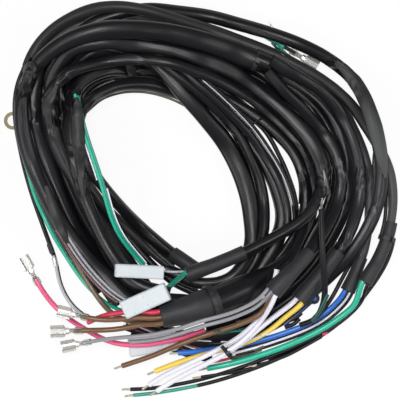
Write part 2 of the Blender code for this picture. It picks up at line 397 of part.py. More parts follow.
class Cable:
    """One cable's centre line: its corner points, its radii and its height where it rests."""

    def __init__(self, name, points, diameters, pitch, owner=None):
        self.name = name
        self.owner = owner
        self.pinned = None
        curve = smooth_curve(points)
        lengths = arc_lengths(curve)
        self.length = lengths[-1]
        spacing = min(pitch * max(width for share, width in diameters), LONGEST_PITCH)
        self.corner_at = np.linspace(0.0, self.length, max(3, int(round(self.length / spacing)) + 1))
        self.corners = along(curve, lengths, self.corner_at)
        self.shares = [share for share, width in diameters]
        self.widths = [width for share, width in diameters]
        self.collars = []
        self.low_from = math.inf
        self.wire_end = self.length

    def keep_straight(self, at_end, length):
        """Make the last stretch one straight piece, so that what sits in it fits."""
        keep = self.corner_at <= self.length - length * 0.99 if at_end else self.corner_at >= length * 0.99
        edge = self.length - length if at_end else length
        edge_row = along(self.corners, self.corner_at, np.array([edge]))
        inner_at, inner = self.corner_at[keep], self.corners[keep]
        spare = inner_at < edge - 0.004 if at_end else inner_at > edge + 0.004
        inner_at, inner = inner_at[spare], inner[spare]
        if at_end:
            self.corner_at = np.concatenate([inner_at, [edge, self.length]])
            self.corners = np.vstack([inner, edge_row, self.corners[-1:]])
        else:
            self.corner_at = np.concatenate([[0.0, edge], inner_at])
            self.corners = np.vstack([self.corners[:1], edge_row, inner])

    def radius(self, where):
        return np.interp(np.asarray(where) / self.length, self.shares, self.widths) / 2

    def sample(self):
        """Points close together along the corner line, where contact is worked out."""
        self.at = np.linspace(0.0, self.length, int(math.ceil(self.length / STEP)) + 1)
        rows = along(self.corners, self.corner_at, self.at)
        self.flat = rows[:, :2]
        self.layer = rows[:, 2]
        self.contact = self.radius(self.at)
        for start, stop, radius in self.collars:
            inside = (self.at >= start - STEP) & (self.at <= stop + STEP)
            self.contact = np.where(inside, np.maximum(self.contact, radius), self.contact)
        lowered = np.minimum(self.contact, FITTING_FLOOR)
        self.floor = np.where(self.at >= self.low_from, lowered, self.contact)
        self.height = self.floor.copy()
        self.corner_height = np.interp(self.corner_at, self.at, self.height)

    def settle(self, need):
        """Lay the cable down on the heights it needs, in a curve that it can bend to."""
        reach = self.at[:, None] - self.at[None, :]
        humps = (need[None, :] - reach ** 2 / (2 * BEND_RADIUS)).max(axis=1)
        window = max(1, int(round(SOFTENING / STEP)))
        padded = np.pad(humps, window, mode="edge")
        even = np.convolve(padded, np.ones(2 * window + 1) / (2 * window + 1), mode="valid")
        corner_height = np.interp(self.corner_at, self.at, even)
        for attempt in range(6):
            short = need - np.interp(self.at, self.corner_at, corner_height)
            if short.max() <= 1e-7:
                break
            piece = np.clip(np.searchsorted(self.corner_at, self.at, side="right") - 1, 0,
                            len(self.corner_at) - 2)
            lift = np.zeros(len(self.corner_at))
            np.maximum.at(lift, piece, short)
            np.maximum.at(lift, piece + 1, short)
            corner_height = corner_height + np.maximum(lift, 0.0)
        if self.pinned is not None:
            count, heights = self.pinned
            corner_height[:count] = heights()
        self.corner_height = corner_height
        self.height = np.interp(self.at, self.corner_at, corner_height)

    def point(self, where):
        x, y, layer = along(self.corners, self.corner_at, np.array([where]))[0]
        return Vector((x, y, float(np.interp(where, self.corner_at, self.corner_height))))

    def stretch(self, start, stop):
        """The corner line between two lengths, with its radii."""
        inside = [value for value in self.corner_at if start + 1e-4 < value < stop - 1e-4]
        places = [start] + inside + [stop]
        points = [self.point(value) for value in places]
        radii = [float(self.radius(value)) for value in places]
        return points, radii, places

    def outer_radius(self, where):
        """The radius over a shrink tube if one is there."""
        return float(np.interp(where, self.at, self.plain))

    def nearest(self, x, y):
        return float(self.at[np.argmin(np.hypot(self.flat[:, 0] - x, self.flat[:, 1] - y))])


def is_nested(first, second):
    """Which pairs of points of two cables lie inside one shrink tube, where their places are fixed."""
    nested = np.zeros((len(first.at), len(second.at)), dtype=bool)
    apart_allowed = WIRE_INSET + MOUTH_FAN
    if first.owner and second.owner and first.owner[0] is second.owner[0]:
        nested |= (first.at[:, None] < apart_allowed) & (second.at[None, :] < apart_allowed)
    for wire, sleeve, turned in ((first, second, False), (second, first, True)):
        if wire.owner and wire.owner[0] is sleeve:
            root, side, reach = wire.owner
            covered = sleeve.at < reach if side == "start" else sleeve.at > sleeve.length - reach
            pairs = (wire.at[:, None] < apart_allowed) & covered[None, :]
            nested |= pairs.T if turned else pairs
    return nested


def first_on_top(at, step):
    """At each contact of two cables, whether the first is on top.

    A small step in layer follows its neighbours.
    """
    clear = np.abs(step) > CLEAR_STEP
    if not clear.any():
        return np.full(len(at), np.mean(step) > 0)
    nearest = np.abs(at[:, None] - at[clear][None, :]).argmin(axis=1)
    return (step[clear] > 0)[nearest]


def crossings(first_at, second_at):
    """Groups of contact pairs that belong to one crossing or to one stretch side by side."""
    groups = [np.arange(len(first_at))]
    for places in (first_at, second_at, first_at):
        parts = []
        for group in groups:
            order = group[np.argsort(places[group], kind="stable")]
            breaks = np.nonzero(np.diff(places[order]) > SAME_CROSSING)[0] + 1
            parts.extend(np.split(order, breaks))
        groups = parts
    return groups


def find_contacts(cables):
    """Where cables lie over each other, which one is on top there, and the height that clears it."""
    for cable in cables:
        cable.contacts = []
        cable.low, cable.high = cable.flat.min(axis=0), cable.flat.max(axis=0)
    for index, first in enumerate(cables):
        for second in cables[index + 1:]:
            margin = first.contact.max() + second.contact.max() + CLEARANCE
            if (first.low - margin > second.high).any() or (second.low - margin > first.high).any():
                continue
            apart = np.hypot(first.flat[:, None, 0] - second.flat[None, :, 0],
                             first.flat[:, None, 1] - second.flat[None, :, 1])
            touching = first.contact[:, None] + second.contact[None, :] + CLEARANCE
            one, two = np.nonzero((apart < touching) & ~is_nested(first, second))
            if len(one) == 0:
                continue
            rise = np.sqrt(touching[one, two] ** 2 - apart[one, two] ** 2)
            for group in crossings(first.at[one], second.at[two]):
                ones, twos, rises = one[group], two[group], rise[group]
                above = first_on_top(first.at[ones], first.layer[ones] - second.layer[twos])
                if above.any():
                    first.contacts.append((second, ones[above], twos[above], rises[above]))
                if not above.all():
                    second.contacts.append((first, twos[~above], ones[~above], rises[~above]))


def settle_all(cables):
    find_contacts(cables)
    order = sorted(cables, key=lambda cable: float(np.mean(cable.layer)))
    for turn in range(SETTLING_ROUNDS):
        for cable in order:
            need = cable.floor.copy()
            for other, own_index, other_index, rise in cable.contacts:
                np.maximum.at(need, own_index, other.height[other_index] + rise)
            cable.settle(need)


def round_cable(name, points, radii, colour):
    """A closed round tube along straight pieces, with its radius at each corner."""
    data = bpy.data.curves.new(name, "CURVE")
    data.dimensions = "3D"
    data.bevel_mode = "ROUND"
    data.bevel_depth = max(radii)
    data.bevel_resolution = ROUND_SIDES
    data.use_fill_caps = True
    line = data.splines.new("POLY")
    line.points.add(len(points) - 1)
    for corner, point, radius in zip(line.points, points, radii):
        corner.co = (*point, 1.0)
        corner.radius = radius / max(radii)
    line.use_smooth = True
    return place(name, data, colour)


def ring_frames(points):
    """At each corner, two directions across the line, carried along it without twist."""
    tangents = []
    for index in range(len(points)):
        before = points[max(index - 1, 0)]
        after = points[min(index + 1, len(points) - 1)]
        into = (points[index] - before).normalized() if index > 0 else (after - points[index]).normalized()
        out = (after - points[index]).normalized() if index < len(points) - 1 else into
        tangents.append((into + out).normalized())
    side = tangents[0].cross(Vector((0, 0, 1))).normalized()
    frames = []
    for tangent in tangents:
        side = (side - tangent * side.dot(tangent)).normalized()
        frames.append((side, side.cross(tangent).normalized()))
    return frames


def hollow_tube(name, points, outer, inner, colour, sides=12):
    """An open-ended tube with a wall, along straight pieces."""
    mesh = bmesh.new()
    loops = []
    for radii in (outer, inner):
        rows = []
        for point, radius, (side, up) in zip(points, radii, ring_frames(points)):
            row = []
            for index in range(sides):
                angle = 2 * math.pi * index / sides
                outward = side * math.cos(angle) + up * math.sin(angle)
                row.append(mesh.verts.new(point + outward * radius))
            rows.append(row)
        loops.append(rows)
    skin, bore = loops
    for index in range(sides):
        after = (index + 1) % sides
        for first, second in zip(range(len(points) - 1), range(1, len(points))):
            for near, far in ((skin[first], skin[second]), (bore[second], bore[first])):
                mesh.faces.new((near[index], near[after], far[after], far[index]))
        mesh.faces.new((skin[0][after], skin[0][index], bore[0][index], bore[0][after]))
        mesh.faces.new((skin[-1][index], skin[-1][after], bore[-1][after], bore[-1][index]))
    return finish_mesh(name, mesh, colour)


def finish_mesh(name, mesh, colour, sharp=35.0):
    bmesh.ops.recalc_face_normals(mesh, faces=mesh.faces)
    data = bpy.data.meshes.new(name)
    mesh.to_mesh(data)
    mesh.free()
    data.shade_smooth()
    data.set_sharp_from_angle(angle=math.radians(sharp))
    return place(name, data, colour)


def sheet_rows(centre_line, thickness):
    """The closed outline of a bent strip of sheet, from the line through the middle of its wall."""
    line = [Vector(point) for point in centre_line]
    outline = []
    for sign in (1, -1):
        row = []
        for index, point in enumerate(line):
            before = line[max(index - 1, 0)]
            after = line[min(index + 1, len(line) - 1)]
            direction = (after - before).normalized()
            row.append(point + Vector((-direction.y, direction.x)) * (sign * thickness / 2))
        outline.extend(row if sign > 0 else reversed(row))
    return outline


def arc_line(radius, opening, count=9):
    """A round barrel's wall, open at the top."""
    half = math.radians(180 - opening / 2)
    return [(radius * math.sin(-half + 2 * half * index / (count - 1)),
             -radius * math.cos(-half + 2 * half * index / (count - 1))) for index in range(count)]


def terminal_frame(cable):
    """The frame at a wire's far end: X along the wire, Z as far up as it can."""
    start, stop = cable.point(cable.wire_end - 0.004), cable.point(cable.wire_end)
    forward = (stop - start).normalized()
    side = Vector((0, 0, 1)).cross(forward).normalized()
    up = forward.cross(side)
    turn = Matrix((forward, side, up)).transposed().to_4x4()
    return Matrix.Translation(stop) @ turn


def lofted(name, stations, frame, colour):
    """A closed body through cross sections of one sheet, each at its own place along X."""
    mesh = bmesh.new()
    rings = []
    for x, outline in stations:
        rings.append([mesh.verts.new(frame @ Vector((x, point.x, point.y))) for point in outline])
    count = len(rings[0])
    for first, second in zip(rings, rings[1:]):
        for index in range(count):
            after = (index + 1) % count
            mesh.faces.new((first[index], first[after], second[after], second[index]))
    half = count // 2
    for ring in (rings[0], rings[-1]):
        for index in range(half - 1):
            mesh.faces.new((ring[index], ring[index + 1], ring[count - 2 - index], ring[count - 1 - index]))
    return finish_mesh(name, mesh, colour)


def spade_terminal(name, cable):
    """A female spade terminal crimped on a wire: insulation crimp, conductor crimp, neck, rolled body."""
    wire = float(cable.radius(cable.length))
    grip = wire + SEAT_GAP + SHEET / 2
    crimp = CONDUCTOR_DIAMETER / 2 + SEAT_GAP + SHEET / 2
    half = SPADE_WIDTH / 2 - SHEET / 2
    base = -crimp
    roll = base + SPADE_HEIGHT - SHEET
    body = [(-0.42 * half, roll - 0.0005), (-0.66 * half, roll), (-0.93 * half, roll - 0.0003),
            (-half, base + 0.0007), (0, base), (half, base + 0.0007), (0.93 * half, roll - 0.0003),
            (0.66 * half, roll), (0.42 * half, roll - 0.0005)]
    neck = [(share * SPADE_NECK / 2, base + rise * SPADE_NECK_RISE)
            for share, rise in ((-1, 1), (-0.95, 0.64), (-0.79, 0.27), (-0.42, 0), (0, 0),
                                (0.42, 0), (0.79, 0.27), (0.95, 0.64), (1, 1))]
    start = SPADE_LENGTH - SPADE_BODY - SPADE_GRIP
    stations = [(-0.0034, arc_line(grip, GRIP_OPENING)), (0.0006, arc_line(grip, GRIP_OPENING)),
                (0.0016, arc_line(crimp, CRIMP_FLARE)), (0.0020, arc_line(crimp, CRIMP_OPENING)),
                (0.0044, arc_line(crimp, CRIMP_OPENING)), (start - 0.0014, neck),
                (start, neck), (start + 0.0012, body), (start + SPADE_BODY, body)]
    outlines = [(x, sheet_rows(line, SHEET)) for x, line in stations]
    return lofted(name, outlines, terminal_frame(cable), "metal")


def ring_terminal(name, cable):
    """A ring terminal: a flat eye with a tongue, and a barrel crimped on its wire."""
    frame = terminal_frame(cable)
    outer, hole = RING_OUTER / 2, RING_HOLE / 2
    bore = CONDUCTOR_DIAMETER / 2 + SEAT_GAP
    tongue = bore + 2 * BARREL_WALL
    mesh = bmesh.new()
    spread = math.asin(min(0.9, tongue / outer))
    count = 20
    rim = [(RING_REACH + outer * math.cos(math.pi - spread - (2 * math.pi - 2 * spread) * index / count),
            outer * math.sin(math.pi - spread - (2 * math.pi - 2 * spread) * index / count))
           for index in range(count + 1)]
    eye = [(RING_REACH + hole * math.cos(math.pi - spread - (2 * math.pi - 2 * spread) * index / count),
            hole * math.sin(math.pi - spread - (2 * math.pi - 2 * spread) * index / count))
           for index in range(count + 1)]
    tail = [(TONGUE_START, -tongue), (TONGUE_START, tongue)]
    levels = []
    for z in (-RING_THICKNESS / 2, RING_THICKNESS / 2):
        lines = (rim, eye, tail)
        levels.append([[mesh.verts.new(frame @ Vector((x, y, z))) for x, y in line] for line in lines])
    (low_rim, low_eye, low_tail), (top_rim, top_eye, top_tail) = levels
    for a_rim, a_eye, a_tail in levels:
        for index in range(count):
            mesh.faces.new((a_rim[index], a_rim[index + 1], a_eye[index + 1], a_eye[index]))
        mesh.faces.new((a_rim[0], a_eye[0], a_eye[-1], a_rim[-1], a_tail[0], a_tail[1]))
    for low, top in ((low_rim, top_rim), (low_eye, top_eye)):
        for index in range(count):
            mesh.faces.new((low[index], low[index + 1], top[index + 1], top[index]))
    mesh.faces.new((low_eye[-1], low_eye[0], top_eye[0], top_eye[-1]))
    edge_low = [low_rim[-1], low_tail[0], low_tail[1], low_rim[0]]
    edge_top = [top_rim[-1], top_tail[0], top_tail[1], top_rim[0]]
    for index in range(3):
        mesh.faces.new((edge_low[index], edge_low[index + 1], edge_top[index + 1], edge_top[index]))
    eye_plate = finish_mesh(name, mesh, "brass")
    ends = [frame @ Vector((x, 0, 0)) for x in BARREL]
    barrel = hollow_tube(name + "_barrel", ends, [bore + BARREL_WALL] * 2, [bore] * 2, "brass")
    barrel.hide_render = True
    barrel.display_type = "WIRE"
    joined = eye_plate.modifiers.new("barrel", "BOOLEAN")
    joined.operation = "UNION"
    joined.solver = "EXACT"
    joined.object = barrel


def spade_cover(name, cable, reach, on_edge):
    """A soft spade cover: a rounded box with the slot that takes the terminal."""
    start, stop = cable.point(0.0), cable.point(cable.length)
    forward = (stop - start).normalized()
    side = Vector((0, 0, 1)).cross(forward).normalized()
    turn = Matrix((forward, side, forward.cross(side))).transposed().to_4x4()
    width, thickness = (COVER_THICKNESS, COVER_WIDTH) if on_edge else (COVER_WIDTH, COVER_THICKNESS)
    lift = thickness / 2 - reach + SEAT_GAP if on_edge else 0.0
    frame = Matrix.Translation((start + stop) / 2 + Vector((0, 0, lift))) @ turn
    mesh = bmesh.new()
    bmesh.ops.create_cube(mesh, size=1.0)
    bmesh.ops.scale(mesh, vec=(COVER_LENGTH, width, thickness), verts=mesh.verts)
    bmesh.ops.bevel(mesh, geom=list(mesh.edges), offset=COVER_EDGE, segments=2, affect="EDGES", profile=0.5)
    mouth = max((face for face in mesh.faces if face.normal.x < -0.99), key=lambda face: face.calc_area())
    slot = COVER_MOUTH[::-1] if on_edge else COVER_MOUTH
    bmesh.ops.inset_individual(mesh, faces=[mouth], thickness=0.0004)
    for vert in mouth.verts:
        vert.co.y = math.copysign(slot[0] / 2, vert.co.y)
        vert.co.z = math.copysign(slot[1] / 2, vert.co.z)
    pushed = bmesh.ops.extrude_discrete_faces(mesh, faces=[mouth])
    for face in pushed["faces"]:
        bmesh.ops.translate(mesh, vec=(COVER_MOUTH_DEPTH, 0, 0), verts=face.verts)
    bmesh.ops.transform(mesh, matrix=frame, verts=mesh.verts)
    return finish_mesh(name, mesh, "cover")


def tie_ring(name, cable, where, turn):
    """A cable tie: a flat band round its cable, with its head standing out."""
    at = cable.nearest(*plane_points([where + (0,)])[0, :2])
    centre = cable.point(at)
    forward = (cable.point(at + TIE_WIDTH) - cable.point(at - TIE_WIDTH)).normalized()
    side = Vector((0, 0, 1)).cross(forward).normalized()
    up = forward.cross(side)
    inner = cable.outer_radius(at) + SEAT_GAP
    outer = inner + TIE_THICKNESS
    mesh = bmesh.new()
    sides = 16
    rings = []
    for shift, reach in ((-TIE_WIDTH / 2, inner), (TIE_WIDTH / 2, inner),
                         (TIE_WIDTH / 2, outer), (-TIE_WIDTH / 2, outer)):
        ring = []
        for index in range(sides):
            angle = math.radians(turn) + 2 * math.pi * (index - 0.5) / sides
            ring.append(mesh.verts.new(centre + forward * shift + side * (reach * math.cos(angle))
                                       + up * (reach * math.sin(angle))))
        rings.append(ring)
    for index in range(sides):
        after = (index + 1) % sides
        for first, second in zip(rings, rings[1:] + rings[:1]):
            mesh.faces.new((first[index], first[after], second[after], second[index]))
    mesh.faces.ensure_lookup_table()
    head = mesh.faces[2]
    outward = side * math.cos(math.radians(turn)) + up * math.sin(math.radians(turn))
    raised = bmesh.ops.extrude_discrete_faces(mesh, faces=[head])
    bmesh.ops.translate(mesh, vec=outward * TIE_HEAD, verts=raised["faces"][0].verts)
    return finish_mesh(name, mesh, "tie")


def splice_barrel(name, cable, at):
    """A crimped barrel round a joint in a wire."""
    points, radii = cable.stretch(at - SPLICE_LENGTH / 2, at + SPLICE_LENGTH / 2)[:2]
    outer = [SPLICE_DIAMETER / 2] * len(points)
    return hollow_tube(name, points, outer, [radius + SEAT_GAP for radius in radii], "metal")


def shrink_profile(sleeve, side, length, width, mouth):
    """The outer radius over a shrink tube at a length along its sleeve's line."""
    def radius(at):
        inward = at if side == "start" else sleeve.length - at
        share = np.clip(inward / length, 0.0, 1.0)
        return (mouth + (width - mouth) * min(1.0, share * 1.6)) / 2
    return radius


def build():
    clear_scene()
    cables = {}
    for name, (route, widths) in SLEEVES.items():
        cables[name] = Cable(name, plane_points(route), widths, SLEEVE_PITCH)
    profiles = {}
    for name, (sleeve_name, side, length, width, mouth) in SHRINKS.items():
        sleeve = cables[sleeve_name]
        sleeve.keep_straight(side == "end", WIRE_INSET + 0.004)
        profiles[name] = shrink_profile(sleeve, side, length, width, mouth)
        steps = np.linspace(0, length, 9)
        for near, far in zip(steps, steps[1:]):
            start = near if side == "start" else sleeve.length - far
            stop = far if side == "start" else sleeve.length - near
            sleeve.collars.append((start, stop, max(profiles[name](start), profiles[name](stop))))
    for name, (route, width, colour, source, fitting) in WIRES.items():
        points = plane_points(route)
        if source:
            shrink, offset = source
            sleeve_name, side = SHRINKS[shrink][:2]
            sleeve = cables[sleeve_name]
            corners = sleeve.corners[::-1] if side == "start" else sleeve.corners
            edge, last = corners[-2], corners[-1]
            heading = (last[:2] - edge[:2]) / np.hypot(*(last[:2] - edge[:2]))
            across = np.array([-heading[1], heading[0]]) * -offset
            inside = last.copy()
            inside[:2] = last[:2] - heading * WIRE_INSET + across
            mouth = last.copy()
            mouth[:2] = last[:2] + heading * 0.003 + across
            points = np.vstack([inside, mouth, points])
        cable = Cable(name, points, [(0, width), (1, width)], WIRE_PITCH)
        if source:
            cable.owner = (sleeve, side, SHRINKS[shrink][2] + 0.001)
            cable.corner_at = np.concatenate([[0.0, WIRE_INSET + 0.003], cable.corner_at[2:]])
            cable.corners = np.vstack([inside, mouth, cable.corners[2:]])
            if cable.corner_at[2] < cable.corner_at[1] + 0.004:
                cable.corner_at = np.delete(cable.corner_at, 2)
                cable.corners = np.delete(cable.corners, 2, axis=0)
            cable.pinned = (2, mouth_heights(sleeve, side))
        fit = FITTING_LENGTHS.get(fitting, 0.0)
        cable.wire_end = cable.length - fit
        if fit:
            cable.keep_straight(True, fit + 0.0055)
            cable.collars.append((cable.wire_end - 0.004, cable.length, FITTING_HALF_WIDTHS[fitting]))
            cable.low_from = cable.wire_end
        cables[name] = cable
    for name, (route, reach, on_edge) in COVERS.items():
        cables[name] = Cable(name, plane_points(route), [(0, 2 * reach), (1, 2 * reach)], 10.0)
        cables[name].corner_at = cables[name].corner_at[[0, -1]]
        cables[name].corners = cables[name].corners[[0, -1]]
    everything = list(cables.values())
    for cable in everything:
        cable.sample()
    add_fitted_collars(cables)
    settle_all(everything)
    make_pieces(cables, profiles)


def mouth_heights(sleeve, side):
    """The heights of a wire's first two points: those of the shrink tube's axis."""
    def heights():
        line = sleeve.corner_height[::-1] if side == "start" else sleeve.corner_height
        at = sleeve.corner_at[::-1] if side == "start" else sleeve.corner_at
        slope = (line[-1] - line[-2]) / abs(at[-1] - at[-2])
        return np.array([line[-1] - slope * WIRE_INSET, line[-1] + slope * 0.003])
    return heights


def add_fitted_collars(cables):
    """Let the ties and the splices take their room when the cables settle."""
    for name, (member, where, turn) in TIES.items():
        cable = cables[member]
        cable.plain = cable.contact.copy()
        at = cable.nearest(*plane_points([where + (0,)])[0, :2])
        reach = float(np.interp(at, cable.at, cable.contact)) + SEAT_GAP + TIE_THICKNESS
        cable.collars.append((at - TIE_WIDTH, at + TIE_WIDTH, reach))
        cable.sample()
    for name, (member, where) in SPLICES.items():
        cable = cables[member]
        at = cable.nearest(*plane_points([where + (0,)])[0, :2])
        cable.collars.append((at - SPLICE_LENGTH / 2, at + SPLICE_LENGTH / 2, SPLICE_DIAMETER / 2))
        cable.sample()


def make_pieces(cables, profiles):
    closed = {}
    for name, (sleeve_name, side, length, width, mouth) in SHRINKS.items():
        closed.setdefault(sleeve_name, []).append((name, side, length))
    for name in SLEEVES:
        cable = cables[name]
        start, stop = 0.0, cable.length
        for shrink, side, length in closed.get(name, []):
            if side == "end":
                stop = cable.length - length + SHRINK_OVERLAP
            else:
                start = length - SHRINK_OVERLAP
            make_shrink(shrink, cable, side, length, profiles[shrink])
        points, radii = cable.stretch(start, stop)[:2]
        round_cable(name, points, radii, "sleeve")
    for name, (route, width, colour, source, fitting) in WIRES.items():
        cable = cables[name]
        points, radii = cable.stretch(0.0, cable.wire_end)[:2]
        if fitting != "none":
            bare = TIP_LENGTH if fitting == "tip" else CRIMPED_LENGTH
            forward = (points[-1] - points[-2]).normalized()
            points += [points[-1] + forward * 0.0002, points[-1] + forward * bare]
            radii += [CONDUCTOR_DIAMETER / 2, CONDUCTOR_DIAMETER / 2]
        round_cable(name, points, radii, colour)
        if fitting == "spade":
            spade_terminal(name.replace("_wire", "") + "_spade", cable)
        if fitting == "ring":
            ring_terminal("ring_terminal", cable)
    for name, (route, reach, on_edge) in COVERS.items():
        spade_cover(name, cables[name], reach, on_edge)
    for name, (member, where, turn) in TIES.items():
        tie_ring(name, cables[member], where, turn)
    for name, (member, where) in SPLICES.items():
        splice_barrel(name, cables[member], cables[member].nearest(*plane_points([where + (0,)])[0, :2]))


def make_shrink(name, cable, side, length, profile):
    start, stop = (0.0, length) if side == "start" else (cable.length - length, cable.length)
    points, radii, places = cable.stretch(start, stop)
    outer = [float(profile(at)) for at in places]
    inner = []
    for at, reach, radius in zip(places, outer, radii):
        inner.append(max(reach - SHRINK_WALL, radius + SEAT_GAP))
    hollow_tube(name, points, outer, inner, "shrink")


build()
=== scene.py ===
"""The looks of a coiled wiring harness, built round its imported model.

Metres, +Z up. The tables hold millimetres, or pixels of the photograph where they say so.
"""

import math

import bpy
import numpy as np
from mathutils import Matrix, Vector


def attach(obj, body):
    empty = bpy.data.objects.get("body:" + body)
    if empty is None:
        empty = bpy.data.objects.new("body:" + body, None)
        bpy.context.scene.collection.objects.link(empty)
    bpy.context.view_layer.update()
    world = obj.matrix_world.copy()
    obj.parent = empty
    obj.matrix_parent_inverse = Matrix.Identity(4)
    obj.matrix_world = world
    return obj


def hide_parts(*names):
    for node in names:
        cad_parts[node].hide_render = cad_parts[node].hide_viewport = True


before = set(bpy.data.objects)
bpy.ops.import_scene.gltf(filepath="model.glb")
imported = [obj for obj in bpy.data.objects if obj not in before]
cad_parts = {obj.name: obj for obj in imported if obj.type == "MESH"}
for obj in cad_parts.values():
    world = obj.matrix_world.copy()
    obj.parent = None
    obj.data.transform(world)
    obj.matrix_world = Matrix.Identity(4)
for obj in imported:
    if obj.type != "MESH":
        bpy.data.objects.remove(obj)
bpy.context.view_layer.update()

MM = 0.001
PHOTO_PIXELS = 400
PHOTO_UNIT = 0.6             # millimetres for one pixel of the photograph
PHOTO_CENTRE = (200.8, 200.0)

# How finely the skins are drawn
CABLE_STEP = 0.0013          # metres between two rings of a cable
LOOSE_STEP = 0.0012          # and of a loose piece or a shrink tube
CURVE_PARTS = 10             # steps of the curve between two points of a route
EASING = 13                  # rings over which a wire's bends are softened
SHORTEST_EASED = 30          # rings, below which they are left
SKIN_SIDES = 40
ROUND_SIDES = 14
SHARP_EDGE = math.radians(50)
TEXTURE_UNIT = 0.1           # metres of cable for one length of its texture

# Ridges that the wires inside make in soft tubing
RIDGE_SHIFT = 0.2            # share of the spacing
RIDGE_WIDTH = 0.42           # radians
RIDGE_STRENGTH = 0.75
RIDGE_WANDER = (0.30, 0.35)  # metres, radians
RIDGE_FADING = (0.22, 0.35)  # metres, share of the strength
SWELLING = (0.14, 0.02)      # metres, share of the radius
WAVE_ORDERS = 4
WAVE_HEIGHT = 1.6
UNIT_RADIUS = [(0, 2 / MM), (1, 2 / MM)]

# Tucks in a crumple of the tubing
CRUMPLE_NEAR = 0.004         # metres from a cable's centre line
TUCK_TURNS = (2, -2, 3)
TUCK_BEND = 520              # radians a metre
TUCK_SHIFT = 7
TUCK_DEPTH = 0.75

# How tubing gives way to what lies beside it, in metres and shares
ROOM_LIMIT = 2.2             # share of a sleeve's reach, beyond which it stays round
BESIDE = 0.0015
DEEPEST_OVERLAP = 0.8        # share of the radius
GAP_KEPT = 0.0042            # from an open gap's line
PRESSED = 0.0003
ROOM_WINDOW = 9              # rings

# How loose pieces lie on the cables below them
RESTING_SHARE = 0.75         # share of the two radii
RESTING_WINDOW = 17          # rings

# Seeds of the random shapes
SLEEVE_SEED = 11
SHRINK_SEED = 31
SHRINK_WAVE_SEED = 71
SLACK_SEED = 91
FLAP_SEED = 131
COMPANION_SEED = 7

